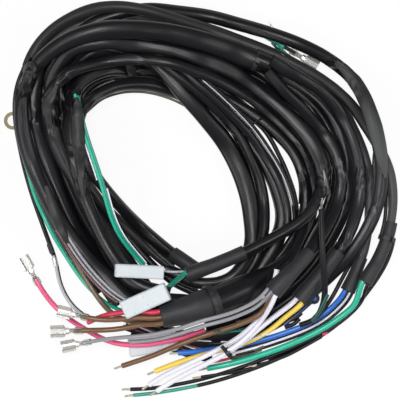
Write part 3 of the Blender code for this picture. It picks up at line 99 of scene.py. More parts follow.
# Centre lines of the model's cables: distance right, distance up the photograph and height of each point
ROUTES = {
    "outer_sleeve": [
        (-43.7, -61.8, 4.5), (-54.7, -46.5, 5.9), (-64.9, -30.6, 6.3), (-74.4, -14.4, 6.9),
        (-82.7, 2.5, 7.6), (-88.9, 20.3, 7.7), (-93.1, 38.7, 9.5), (-94.8, 57.4, 11.3),
        (-91.6, 75.9, 9.2), (-81.9, 91.9, 7.0), (-67.4, 103.9, 9.3), (-50.2, 111.4, 10.0),
        (-31.7, 114.6, 8.6), (-12.9, 113.1, 5.6), (5.8, 110.5, 3.9), (23.9, 105.5, 5.8),
        (42.0, 100.1, 8.9), (59.6, 93.6, 9.8), (76.4, 85.0, 6.4), (90.9, 73.1, 5.3), (100.1, 56.8, 9.7),
        (105.5, 38.7, 10.9), (108.4, 20.2, 10.0), (106.9, 1.4, 9.1), (100.6, -16.3, 10.0),
        (90.4, -32.1, 9.4), (77.4, -45.7, 5.9), (63.3, -58.2, 3.9), (47.9, -68.9, 3.9),
        (30.6, -76.4, 3.9), (12.4, -81.4, 3.9), (-6.3, -82.6, 3.9), (-24.5, -78.0, 3.9)],
    "rim_sleeve": [
        (-61.7, -56.4, 6.6), (-69.1, -44.1, 6.9), (-76.6, -31.9, 6.9), (-83.8, -19.5, 6.6),
        (-90.4, -6.7, 5.8), (-95.8, 6.6, 5.3), (-100.2, 20.3, 5.6), (-103.8, 34.2, 7.6),
        (-105.5, 48.4, 10.3), (-106.7, 62.7, 10.3), (-105.4, 77.0, 6.5), (-100.1, 90.2, 4.1),
        (-90.8, 101.1, 5.3), (-78.9, 109.0, 9.0), (-65.5, 114.3, 13.6), (-51.3, 115.9, 16.2),
        (-37.1, 114.4, 16.6), (-23.1, 110.9, 15.1), (-9.4, 106.7, 12.0), (4.3, 102.3, 9.2),
        (17.8, 97.6, 8.8), (31.3, 92.7, 8.9), (44.7, 87.4, 9.7), (57.6, 81.1, 10.1), (70.1, 74.1, 9.4),
        (81.7, 65.7, 8.3), (91.8, 55.5, 6.8), (99.9, 43.7, 4.2), (107.4, 31.4, 3.0), (113.2, 18.3, 3.0),
        (115.6, 4.2, 3.1), (114.9, -10.1, 5.3), (111.6, -24.1, 6.9), (106.0, -37.3, 8.4),
        (103.7, -41.0, 9.4), (98.5, -49.5, 10.5)],
    "bundle_sleeve": [
        (-5.3, -70.8, 24.3), (-25.4, -69.2, 27.8), (-43.4, -59.6, 29.1), (-58.0, -45.4, 28.0),
        (-71.4, -29.9, 24.8), (-83.3, -13.4, 22.8), (-93.5, 4.3, 21.1), (-101.8, 23.0, 19.3),
        (-106.7, 42.8, 22.7), (-106.2, 63.0, 25.3), (-97.0, 81.2, 32.2), (-81.1, 93.8, 35.3),
        (-61.8, 100.4, 36.7), (-41.4, 101.7, 34.4), (-21.1, 100.0, 28.9), (-1.1, 95.9, 25.5),
        (18.5, 90.0, 18.0), (37.3, 82.2, 16.4)],
    "branch_a_sleeve": [
        (39.7, 77.1, 24.8), (50.3, 65.0, 22.3), (62.0, 53.9, 15.1), (72.4, 41.7, 6.2),
        (80.7, 27.9, 6.9), (84.1, 12.2, 8.5), (81.1, -3.4, 10.7), (73.9, -17.8, 20.8),
        (64.7, -31.0, 29.9), (53.8, -43.0, 35.1), (49.6, -47.4, 36.4), (42.7, -54.6, 37.0)],
    "branch_b_sleeve": [
        (42.4, 83.7, 27.4), (57.4, 74.3, 24.7), (72.1, 64.6, 16.6), (83.3, 51.0, 10.2),
        (91.1, 35.1, 9.7), (95.2, 17.9, 9.0), (94.7, 0.3, 8.3), (90.0, -16.7, 12.4),
        (81.3, -32.1, 14.8), (70.7, -46.3, 14.6), (65.8, -52.3, 14.5), (59.5, -60.0, 14.5)],
    "branch_c_sleeve": [
        (-52.7, -61.2, 2.7), (-59.8, -50.4, 2.7), (-66.7, -39.5, 2.7), (-73.4, -28.4, 2.7),
        (-79.6, -17.0, 2.7), (-85.1, -5.3, 2.7), (-89.8, 6.7, 2.7), (-93.9, 19.0, 2.7),
        (-97.3, 31.5, 3.1), (-99.7, 44.2, 5.3), (-100.8, 57.1, 7.4), (-99.8, 70.0, 6.7),
        (-96.1, 82.3, 4.2), (-89.6, 93.5, 2.7), (-80.1, 102.1, 2.7), (-68.3, 107.5, 2.7),
        (-55.7, 110.0, 2.7), (-42.7, 110.3, 2.7), (-29.8, 109.1, 2.7), (-17.1, 106.9, 2.7),
        (-4.5, 103.8, 2.7), (7.8, 99.8, 2.7), (20.0, 95.5, 2.7), (32.1, 91.1, 2.7), (44.2, 86.5, 3.2),
        (56.0, 81.2, 3.8), (67.1, 74.6, 3.4), (77.1, 66.4, 2.7), (85.0, 56.2, 2.7), (91.0, 44.7, 2.7),
        (96.3, 32.9, 2.7), (100.4, 20.7, 2.7), (102.1, 7.9, 2.7), (101.8, -5.1, 2.7),
        (100.6, -17.9, 2.8), (97.9, -30.6, 3.7), (92.4, -45.5, 4.5), (88.3, -54.6, 4.7)],
    "branch_d_sleeve": [
        (-34.7, -63.6, 11.1), (-46.9, -46.5, 11.6), (-58.5, -29.0, 12.4), (-68.9, -10.8, 12.8),
        (-77.3, 8.4, 12.9), (-83.5, 28.5, 13.8), (-87.3, 49.1, 16.2), (-88.2, 70.0, 20.5),
        (-78.7, 88.0, 27.3), (-58.7, 93.6, 28.7), (-37.8, 92.6, 25.2), (-17.1, 89.1, 24.4),
        (2.9, 82.7, 21.9), (22.2, 74.5, 11.2), (39.5, 62.6, 8.7), (55.0, 48.6, 9.3), (67.4, 31.7, 10.7),
        (73.3, 11.8, 10.5), (65.3, -7.0, 15.6), (48.6, -19.7, 18.1), (30.1, -29.5, 19.2),
        (10.8, -37.7, 21.6), (0.5, -41.5, 23.4), (-8.9, -45.0, 23.6)],
    "middle_sleeve": [
        (2.5, -75.0, 4.9), (20.8, -70.3, 3.3), (38.2, -63.0, 3.2), (54.4, -53.4, 3.4),
        (67.6, -40.0, 3.6), (78.0, -24.2, 3.5), (86.0, -7.2, 3.5), (89.5, 11.3, 3.5), (87.6, 30.0, 3.5),
        (80.8, 47.6, 3.5), (68.7, 62.0, 3.5), (53.2, 72.7, 3.5), (36.3, 81.2, 3.5), (18.8, 88.2, 3.5),
        (0.6, 93.4, 3.5), (-18.0, 96.5, 3.6), (-36.8, 98.0, 5.9), (-55.7, 97.6, 13.0),
        (-74.2, 94.4, 15.7), (-91.1, 86.4, 16.1), (-98.5, 69.5, 18.1), (-99.1, 50.8, 18.6),
        (-95.3, 32.3, 16.6), (-89.2, 14.4, 15.9), (-82.2, -3.1, 15.7), (-73.9, -20.1, 15.2),
        (-63.5, -35.8, 16.8), (-51.3, -50.2, 19.5), (-35.6, -60.5, 20.3), (-17.3, -64.8, 17.8)],
    "folded_sleeve": [
        (-7.7, -60.6, 24.6), (-27.2, -57.8, 26.6), (-42.7, -45.2, 23.5), (-54.6, -29.2, 20.9),
        (-64.5, -11.8, 21.3), (-73.2, 6.2, 21.6), (-81.1, 24.6, 22.9), (-88.9, 42.9, 25.1),
        (-90.1, 62.7, 28.7), (-77.0, 76.6, 29.7), (-57.8, 82.0, 25.4), (-37.9, 83.5, 26.7),
        (-18.1, 81.3, 28.3), (1.0, 75.1, 24.8), (19.0, 66.5, 18.5), (36.0, 55.9, 7.4),
        (51.1, 42.9, 5.5), (63.5, 27.3, 5.6), (69.0, 8.3, 2.7), (66.7, -11.5, 2.5), (58.7, -29.7, 2.5),
        (47.0, -46.0, 3.6), (31.5, -58.4, 10.7), (13.2, -66.5, 13.8), (-6.5, -69.6, 15.4)],
    "inner_sleeve": [
        (-3.2, -41.7, 13.9), (-11.4, -36.0, 12.8), (-20.2, -29.7, 9.7), (-36.1, -16.1, 9.2),
        (-50.6, -1.1, 23.6), (-63.2, 15.5, 32.5), (-72.1, 34.3, 35.2), (-70.3, 54.5, 31.4),
        (-53.9, 66.8, 24.7), (-33.3, 69.3, 12.9), (-13.0, 64.4, 4.2), (6.3, 56.9, 4.4),
        (22.0, 43.1, 4.4), (35.3, 27.1, 4.4), (45.3, 8.7, 4.4), (49.3, -11.6, 4.4), (42.6, -31.2, 4.4),
        (30.2, -47.9, 4.5), (13.3, -59.8, 9.2), (-7.1, -64.2, 10.3)],
    "hole_sleeve": [
        (-26.9, -61.8, 4.8), (-39.2, -44.5, 4.8), (-51.1, -26.9, 4.8), (-61.4, -8.4, 4.8),
        (-69.3, 11.3, 4.8), (-75.4, 31.6, 4.8), (-78.8, 52.5, 5.8), (-78.2, 73.6, 14.7),
        (-64.1, 88.3, 19.4), (-43.2, 90.5, 16.1), (-25.1, 80.6, 13.9), (-11.2, 64.6, 14.9),
        (2.9, 48.7, 11.9), (15.6, 31.7, 6.1), (24.7, 12.6, 4.8), (29.8, -8.0, 4.8), (30.1, -29.0, 6.3),
        (18.6, -46.3, 9.7), (-1.8, -49.9, 8.9), (-21.5, -42.0, 9.4)],
    "slim_sleeve": [
        (-23.3, 81.6, 21.8), (-12.8, 73.4, 21.4), (-2.3, 65.4, 19.8), (8.0, 57.0, 16.7),
        (17.0, 47.3, 12.9), (24.6, 36.4, 11.7), (30.5, 24.5, 10.6), (35.3, 12.2, 8.5),
        (38.0, -0.8, 7.4), (38.3, -14.0, 10.1), (35.9, -27.1, 12.3), (31.0, -39.3, 13.5),
        (22.5, -49.4, 15.2), (10.3, -54.6, 15.0)],
    "side_sleeve": [
        (-72.5, 19.2, 12.8), (-66.4, 8.7, 12.6), (-59.5, -1.2, 11.7), (-51.4, -10.2, 9.7),
        (-43.0, -19.0, 6.3), (-34.2, -27.2, 3.2), (-25.0, -35.1, 2.6), (-15.8, -42.9, 2.6),
        (-7.1, -51.4, 2.6), (0.7, -60.6, 2.6)],
    "trunk_sleeve": [
        (-23.3, -69.6, 39.7), (-13.6, -67.0, 39.3), (-2.6, -64.1, 38.1), (17.4, -56.7, 33.3),
        (36.5, -47.2, 24.9), (53.0, -33.8, 15.9), (61.5, -14.6, 7.5), (62.8, 6.7, 4.7),
        (56.6, 26.8, 3.2), (42.4, 42.8, 3.2), (25.4, 55.5, 3.2), (6.6, 65.7, 3.2), (-13.2, 73.5, 3.2),
        (-34.1, 77.8, 5.9), (-55.4, 77.7, 16.3), (-73.5, 67.7, 20.8), (-77.9, 47.2, 25.9),
        (-75.6, 26.0, 29.7), (-70.4, 5.3, 30.2), (-62.4, -14.5, 29.9), (-52.2, -33.2, 30.7),
        (-38.4, -49.4, 33.8), (-18.5, -55.8, 34.3)],
    "brown_wire_a": [
        (-17.5, -68.1, 39.5), (-26.2, -70.4, 39.8), (-36.8, -69.8, 38.3), (-46.7, -70.9, 36.3),
        (-56.5, -71.5, 34.4), (-64.9, -70.7, 33.9), (-70.3, -69.5, 33.1)],
    "brown_wire_b": [
        (-16.6, -71.4, 39.5), (-25.3, -73.8, 39.8), (-34.7, -74.1, 31.4), (-43.7, -76.1, 29.4),
        (-52.9, -77.4, 28.7), (-62.1, -77.7, 29.4), (-68.6, -77.8, 30.2), (-74.1, -78.0, 29.5)],
    "red_wire": [
        (-18.4, -64.7, 39.5), (-27.1, -67.0, 39.8), (-38.1, -66.1, 34.8), (-48.3, -67.2, 33.1),
        (-58.3, -69.1, 30.4), (-67.7, -73.2, 27.4)],
    "grey_wire_a": [
        (44.6, -48.1, 36.6), (38.4, -54.6, 37.1), (34.7, -58.8, 38.2), (28.5, -62.5, 40.9),
        (21.9, -65.5, 43.1), (15.0, -68.0, 44.6), (8.0, -69.8, 45.5), (0.9, -71.6, 45.9),
        (-6.0, -73.9, 45.8), (-12.8, -76.3, 44.9), (-19.9, -78.1, 43.5), (-27.0, -79.7, 41.6),
        (-34.2, -80.7, 39.1), (-41.5, -81.4, 36.1), (-48.7, -82.1, 32.3), (-55.9, -83.0, 27.8),
        (-63.6, -84.3, 22.1), (-69.0, -85.4, 19.9)],
    "grey_wire_b": [
        (46.6, -50.0, 36.6), (40.4, -56.5, 37.1), (37.2, -60.5, 32.6), (31.7, -64.6, 34.2),
        (25.3, -67.5, 36.7), (18.7, -70.1, 38.7), (12.0, -72.1, 40.1), (5.2, -73.8, 40.4),
        (-1.6, -75.6, 39.5), (-8.2, -78.0, 38.0), (-14.9, -80.2, 35.7), (-21.6, -82.1, 32.6),
        (-28.5, -83.5, 28.6), (-35.5, -84.4, 24.4), (-42.5, -84.9, 21.5)],
    "brown_wire_c": [
        (48.8, -52.1, 36.6), (42.6, -58.6, 37.1), (36.5, -67.4, 30.4), (27.8, -72.2, 28.0),
        (18.5, -75.9, 24.8), (8.9, -78.8, 21.9), (-0.6, -81.9, 21.5), (-10.0, -85.3, 21.6),
        (-19.2, -89.1, 20.4), (-28.4, -93.1, 18.2), (-37.8, -96.4, 15.2), (-47.3, -99.6, 12.7)],
    "white_wire_a": [
        (45.4, -41.4, 29.4), (43.5, -51.2, 29.1), (40.8, -60.8, 27.3), (36.2, -69.5, 24.2),
        (29.4, -76.8, 19.7), (21.7, -83.1, 17.1), (13.1, -88.1, 17.7), (4.2, -92.5, 18.8),
        (-4.8, -96.9, 18.6), (-13.8, -101.1, 17.0), (-22.7, -105.6, 14.7), (-31.1, -111.0, 12.5)],
    "white_wire_b": [
        (61.7, -54.0, 14.5), (56.0, -61.0, 14.5), (47.5, -67.3, 16.5), (39.7, -73.2, 19.2),
        (32.0, -79.3, 20.5), (24.5, -85.5, 20.7), (16.4, -91.0, 20.9), (7.8, -95.7, 20.3),
        (-0.9, -100.1, 17.8), (-9.6, -104.7, 13.9), (-18.1, -109.5, 8.7), (-26.3, -114.9, 5.1)],
    "yellow_wire": [
        (64.9, -56.7, 14.5), (59.2, -63.7, 14.5), (51.2, -69.9, 9.3), (44.0, -76.3, 8.4),
        (36.1, -81.6, 7.9), (27.3, -85.4, 9.5), (18.1, -88.3, 12.3), (8.9, -90.7, 14.2),
        (-0.4, -93.3, 15.3), (-9.5, -96.1, 14.8), (-18.6, -99.3, 12.4), (-27.5, -102.9, 10.2)],
    "blue_wire": [
        (89.4, -48.5, 4.6), (85.7, -56.7, 4.7), (78.8, -64.7, 2.3), (71.1, -70.7, 2.5),
        (62.5, -75.4, 2.7), (53.4, -78.9, 2.6), (44.1, -82.1, 2.2), (34.7, -84.7, 1.9),
        (25.1, -86.8, 2.7), (15.5, -88.4, 6.2), (5.8, -89.8, 10.5), (-3.9, -91.1, 13.3),
        (-13.7, -91.8, 14.3)],
    "thin_white_wire": [
        (92.3, -49.8, 4.6), (88.7, -58.0, 4.7), (85.2, -62.8, 1.2), (79.9, -68.0, 1.2),
        (74.0, -72.6, 1.2), (67.6, -76.3, 1.2), (60.8, -79.4, 1.2), (53.8, -82.1, 1.2),
        (46.8, -84.5, 1.2), (39.7, -86.9, 1.2), (32.6, -89.0, 1.2), (25.4, -90.9, 1.2),
        (18.1, -92.7, 1.2)],
    "green_wire_c": [
        (100.4, -43.6, 9.8), (95.8, -51.3, 10.8), (93.0, -62.3, 7.6), (84.8, -69.6, 6.5),
        (75.8, -75.8, 6.4), (66.1, -81.1, 6.2), (56.2, -85.7, 5.8), (46.0, -89.8, 4.8),
        (35.7, -93.4, 3.6), (25.2, -96.7, 2.4), (14.5, -99.3, 1.8), (3.7, -101.4, 1.8)],
    "black_wire_a": [
        (103.4, -45.5, 9.8), (98.8, -53.2, 10.8), (98.2, -58.2, 4.1), (94.5, -64.1, 4.2),
        (89.4, -69.0, 4.1), (84.0, -73.5, 4.1), (78.1, -77.4, 4.0), (71.9, -80.8, 3.9),
        (65.6, -84.0, 3.6), (59.2, -87.0, 3.3), (52.8, -89.9, 2.8), (46.2, -92.6, 2.2),
        (39.7, -95.1, 1.6), (33.0, -97.6, 1.3), (26.4, -99.9, 1.2), (19.7, -102.2, 1.2),
        (13.0, -104.4, 1.2), (6.2, -106.4, 1.2), (-0.6, -108.2, 1.2), (-7.5, -109.8, 1.2),
        (-14.4, -111.1, 1.2), (-21.4, -112.3, 1.2), (-28.4, -113.3, 1.2), (-35.4, -113.8, 1.2),
        (-42.5, -114.0, 1.2)],
    "black_wire_b": [
        (116.2, -24.0, 1.2), (114.5, -31.0, 1.2), (111.9, -37.7, 1.2), (108.4, -44.0, 1.2),
        (104.5, -50.0, 1.2), (100.2, -55.7, 1.2), (95.8, -61.4, 1.2), (91.1, -66.9, 1.2),
        (85.8, -71.7, 1.2), (80.4, -76.4, 1.2), (74.5, -80.5, 1.2), (68.3, -84.2, 1.2),
        (62.1, -87.7, 1.2), (55.7, -91.1, 1.2), (49.3, -94.3, 1.2), (42.7, -97.3, 1.2),
        (36.1, -100.0, 1.2), (29.3, -102.5, 1.2), (22.6, -104.9, 1.2), (15.7, -107.1, 1.2),
        (8.8, -109.1, 1.2), (1.9, -110.9, 1.2), (-5.1, -112.4, 1.2), (-12.2, -113.8, 1.2),
        (-19.3, -115.0, 1.2), (-26.4, -116.1, 1.2), (-33.5, -116.9, 1.2), (-40.7, -117.6, 1.2)],
    "pink_wire": [
        (2.5, -78.0, 17.7), (-6.5, -81.1, 19.1), (-15.8, -83.5, 20.3), (-25.1, -85.4, 19.9),
        (-34.6, -86.7, 18.3), (-44.1, -86.8, 16.7), (-53.5, -85.3, 14.8), (-62.3, -81.6, 12.0),
        (-70.7, -76.9, 7.8), (-78.8, -71.9, 3.6), (-86.1, -65.8, 1.9), (-92.4, -58.7, 2.6),
        (-96.5, -52.5, 3.6), (-99.3, -47.8, 3.4)],
    "rim_wire": [
        (-102.5, 85.8, 10.5), (-106.2, 79.5, 11.0), (-109.2, 72.8, 11.3), (-111.2, 65.7, 10.9),
        (-112.0, 58.5, 9.7), (-112.0, 51.1, 8.4), (-111.3, 43.8, 6.9), (-110.1, 36.6, 5.5),
        (-108.7, 29.4, 3.7), (-107.2, 22.2, 2.1), (-105.4, 15.1, 1.3), (-103.4, 8.0, 1.2),
        (-101.2, 1.0, 1.2), (-98.8, -5.9, 1.2), (-96.3, -12.8, 1.4), (-93.8, -19.7, 1.9),
        (-91.2, -26.6, 2.6), (-88.7, -33.4, 2.8), (-86.9, -40.5, 2.6), (-85.7, -47.8, 2.2),
        (-83.3, -54.7, 1.5), (-79.7, -61.0, 1.2), (-74.9, -66.6, 1.2), (-68.9, -70.8, 1.2)],
    "green_wire_a": [
        (-106.1, 24.0, 7.0), (-103.8, 17.2, 6.9), (-102.1, 10.2, 6.2), (-100.1, 3.3, 4.9),
        (-97.4, -3.4, 3.7), (-94.4, -10.0, 3.0), (-91.3, -16.4, 3.7), (-87.9, -22.8, 5.1),
        (-84.1, -29.0, 6.7), (-80.2, -35.0, 7.9), (-76.3, -41.0, 9.0), (-72.1, -46.9, 10.0),
        (-67.5, -52.4, 11.0), (-62.3, -57.4, 11.2), (-56.8, -62.1, 10.6), (-50.5, -65.4, 9.1),
        (-43.7, -67.8, 7.9)],
    "tan_wire": [
        (-89.9, -7.2, 11.1), (-85.8, -16.4, 11.5), (-81.2, -25.4, 11.8), (-76.4, -34.2, 12.0),
        (-71.4, -43.0, 12.9), (-66.2, -51.6, 14.3), (-60.6, -60.0, 14.5), (-54.0, -67.5, 13.2),
        (-45.2, -72.3, 11.0), (-35.3, -73.8, 8.6)],
    "grey_wire_c": [
        (-83.3, -15.6, 29.5), (-79.5, -21.4, 29.9), (-75.8, -27.2, 30.6), (-71.9, -33.0, 31.4),
        (-67.7, -38.5, 32.4), (-63.2, -43.8, 33.2), (-58.5, -48.8, 33.8), (-53.5, -53.6, 34.4),
        (-47.8, -57.6, 35.0), (-41.9, -61.2, 35.3)],
    "green_wire_b": [
        (-74.9, 63.0, 36.3), (-73.4, 56.2, 37.2), (-71.9, 49.4, 38.2), (-70.2, 42.6, 38.9),
        (-68.2, 35.9, 38.9), (-66.0, 29.3, 38.4), (-63.7, 22.7, 38.0), (-61.5, 16.1, 37.5),
        (-59.5, 9.4, 36.7), (-57.6, 2.7, 35.5), (-55.8, -4.0, 33.5), (-53.8, -10.7, 31.0),
        (-51.1, -17.2, 27.8), (-47.8, -23.3, 24.1), (-43.7, -28.9, 19.8), (-39.3, -34.3, 15.2),
        (-34.7, -39.6, 11.7)],
    "loop_wire_black": [
        (-12.5, 85.2, 3.6), (-7.5, 80.2, 4.9), (-2.3, 75.3, 6.4), (3.0, 70.7, 7.5), (8.3, 66.1, 8.1),
        (13.6, 61.3, 8.1), (18.7, 56.5, 7.7), (23.7, 51.5, 6.8), (28.6, 46.4, 5.5), (33.2, 41.0, 3.8),
        (37.4, 35.3, 2.3), (41.4, 29.5, 1.4), (45.2, 23.5, 1.3), (48.6, 17.3, 2.4), (51.4, 10.8, 4.6),
        (53.7, 4.1, 7.5), (55.4, -2.7, 9.7), (56.3, -9.7, 11.3), (55.9, -16.8, 11.9)],
    "loop_wire_white": [
        (-15.2, 82.8, 21.1), (-10.2, 77.5, 21.8), (-4.9, 72.5, 22.5), (0.6, 67.7, 22.5),
        (6.1, 63.0, 21.6), (11.5, 58.0, 20.5), (16.8, 53.0, 19.0), (21.9, 47.8, 17.3),
        (26.9, 42.6, 15.1), (31.5, 36.9, 12.6), (35.7, 30.9, 10.9), (39.6, 24.8, 9.9),
        (43.4, 18.6, 9.8), (46.7, 12.1, 10.0), (49.3, 5.3, 9.8), (51.3, -1.8, 9.5), (52.5, -8.9, 9.5),
        (52.3, -16.2, 9.6)],
    "cross_wire": [
        (71.8, -5.4, 27.5), (72.1, -15.1, 29.0), (72.5, -24.8, 29.8), (73.0, -34.5, 29.1),
        (73.8, -44.1, 26.4), (74.5, -53.8, 22.7), (73.3, -63.4, 18.9), (68.5, -71.5, 15.0),
        (59.5, -75.0, 11.6)],
    "short_wire": [
        (33.1, 103.2, 1.2), (38.7, 98.6, 1.7), (45.0, 94.9, 2.5), (51.9, 91.2, 3.6), (56.7, 88.4, 3.4)],
    "ring_wire": [
        (-83.3, 84.0, 1.2), (-89.1, 79.2, 1.2), (-94.3, 73.8, 1.3), (-98.7, 67.7, 1.9),
        (-103.8, 59.8, 2.9), (-107.2, 55.5, 2.8)],
}

# Sleeves: widths along them (share of the length, millimetres), height of the section against its width,
# wires felt through the wall, how fast those wind round (turns a metre), how deep the hollows between them
# are, and how far the tubing may give way to its neighbours on each side (millimetres)
SLEEVES = {
    "outer_sleeve": ([(0, 7.8), (1, 7.8)], 0.92, 3, 0.4, 0.14, 0.9),
    "rim_sleeve": (
        [(0, 6.0), (0.3, 6.0), (0.42, 7.0), (0.6, 7.0), (0.72, 6.2), (0.86, 6.2), (0.92, 5.2), (1, 5.2)],
        0.92, 3, 0.5, 0.14, 0.9),
    "bundle_sleeve": ([(0, 9.0), (0.6, 9.0), (0.72, 11.6), (1, 11.6)], 0.84, 4, 0.2, 0.1, 1.6),
    "branch_a_sleeve": ([(0, 6.8), (1, 6.8)], 0.94, 3, 0.6, 0.16, 1.4),
    "branch_b_sleeve": ([(0, 7.4), (1, 7.4)], 0.9, 3, -0.5, 0.16, 1.4),
    "branch_c_sleeve": ([(0, 5.4), (1, 5.4)], 0.94, 3, 0.4, 0.14, 1.2),
    "branch_d_sleeve": ([(0, 8.8), (0.7, 8.8), (0.85, 6.6), (1, 6.6)], 0.9, 4, -0.3, 0.14, 1.5),
    "middle_sleeve": (
        [(0, 5.4), (0.12, 7.0), (0.5, 7.0), (0.62, 7.8), (1, 7.8)],
        0.92, 3, 0.4, 0.16, 1.4),
    "folded_sleeve": (
        [(0, 8.4), (0.3, 8.4), (0.42, 6.2), (0.55, 5.0), (1, 5.0)],
        0.88, 3, 0.4, 0.18, 1.5),
    "inner_sleeve": ([(0, 7.0), (0.4, 7.0), (0.55, 8.8), (1, 8.8)], 0.94, 4, -0.3, 0.12, 1.2),
    "hole_sleeve": ([(0, 9.6), (0.84, 9.6), (0.92, 7.0), (1, 7.0)], 0.88, 4, 0.3, 0.14, 1.4),
    "slim_sleeve": ([(0, 5.6), (1, 5.6)], 0.94, 2, 0.5, 0.14, 1.0),
    "side_sleeve": ([(0, 5.2), (1, 5.2)], 0.94, 2, 0.6, 0.14, 1.0),
    "trunk_sleeve": (
        [(0, 11.0), (0.045, 16.8), (0.115, 16.8), (0.165, 9.6), (0.2, 6.4), (0.55, 6.4), (0.68, 8.0),
         (1, 8.0)],
        0.95, 4, 0.4, 0.1, 1.3),
}
# These sleeves and the folds of tubing get a duller gloss, and a lighter base colour that is painted light
# from the side lamps
DULL_LIT_SLEEVES = ("rim_sleeve", "side_sleeve", "branch_c_sleeve")    # sleeves whose gloss is gone
SLEEVE_TUCK = 0.010          # metres of a sleeve inside its shrink tube
TRUNK_HEAD = 0.17            # share of the trunk that is its wide head

# Crumples in the soft tubing: spot in the photograph's pixels, reach in millimetres and depth
CRUMPLES = [
    (28, 70, 7, 0.3), (24, 90, 6, 0.26), (48, 103, 8, 0.34), (50, 128, 7, 0.34), (72, 104, 8, 0.34),
    (60, 122, 6, 0.3), (85, 182, 8, 0.3), (76, 150, 7, 0.24), (132, 71, 5, 0.24), (141, 66, 4, 0.2),
    (94, 104, 7, 0.26), (335, 65, 6, 0.34), (359, 86, 8, 0.34), (355, 176, 7, 0.26),
    (368, 178, 7, 0.36), (337, 172, 9, 0.17), (326, 186, 9, 0.26), (312, 166, 5, 0.24),
    (343, 242, 8, 0.28), (306, 180, 6, 0.28), (345, 205, 7, 0.14), (300, 150, 5, 0.18),
    (374, 206, 7, 0.12), (33, 120, 6, 0.2), (62, 80, 6, 0.22),
]

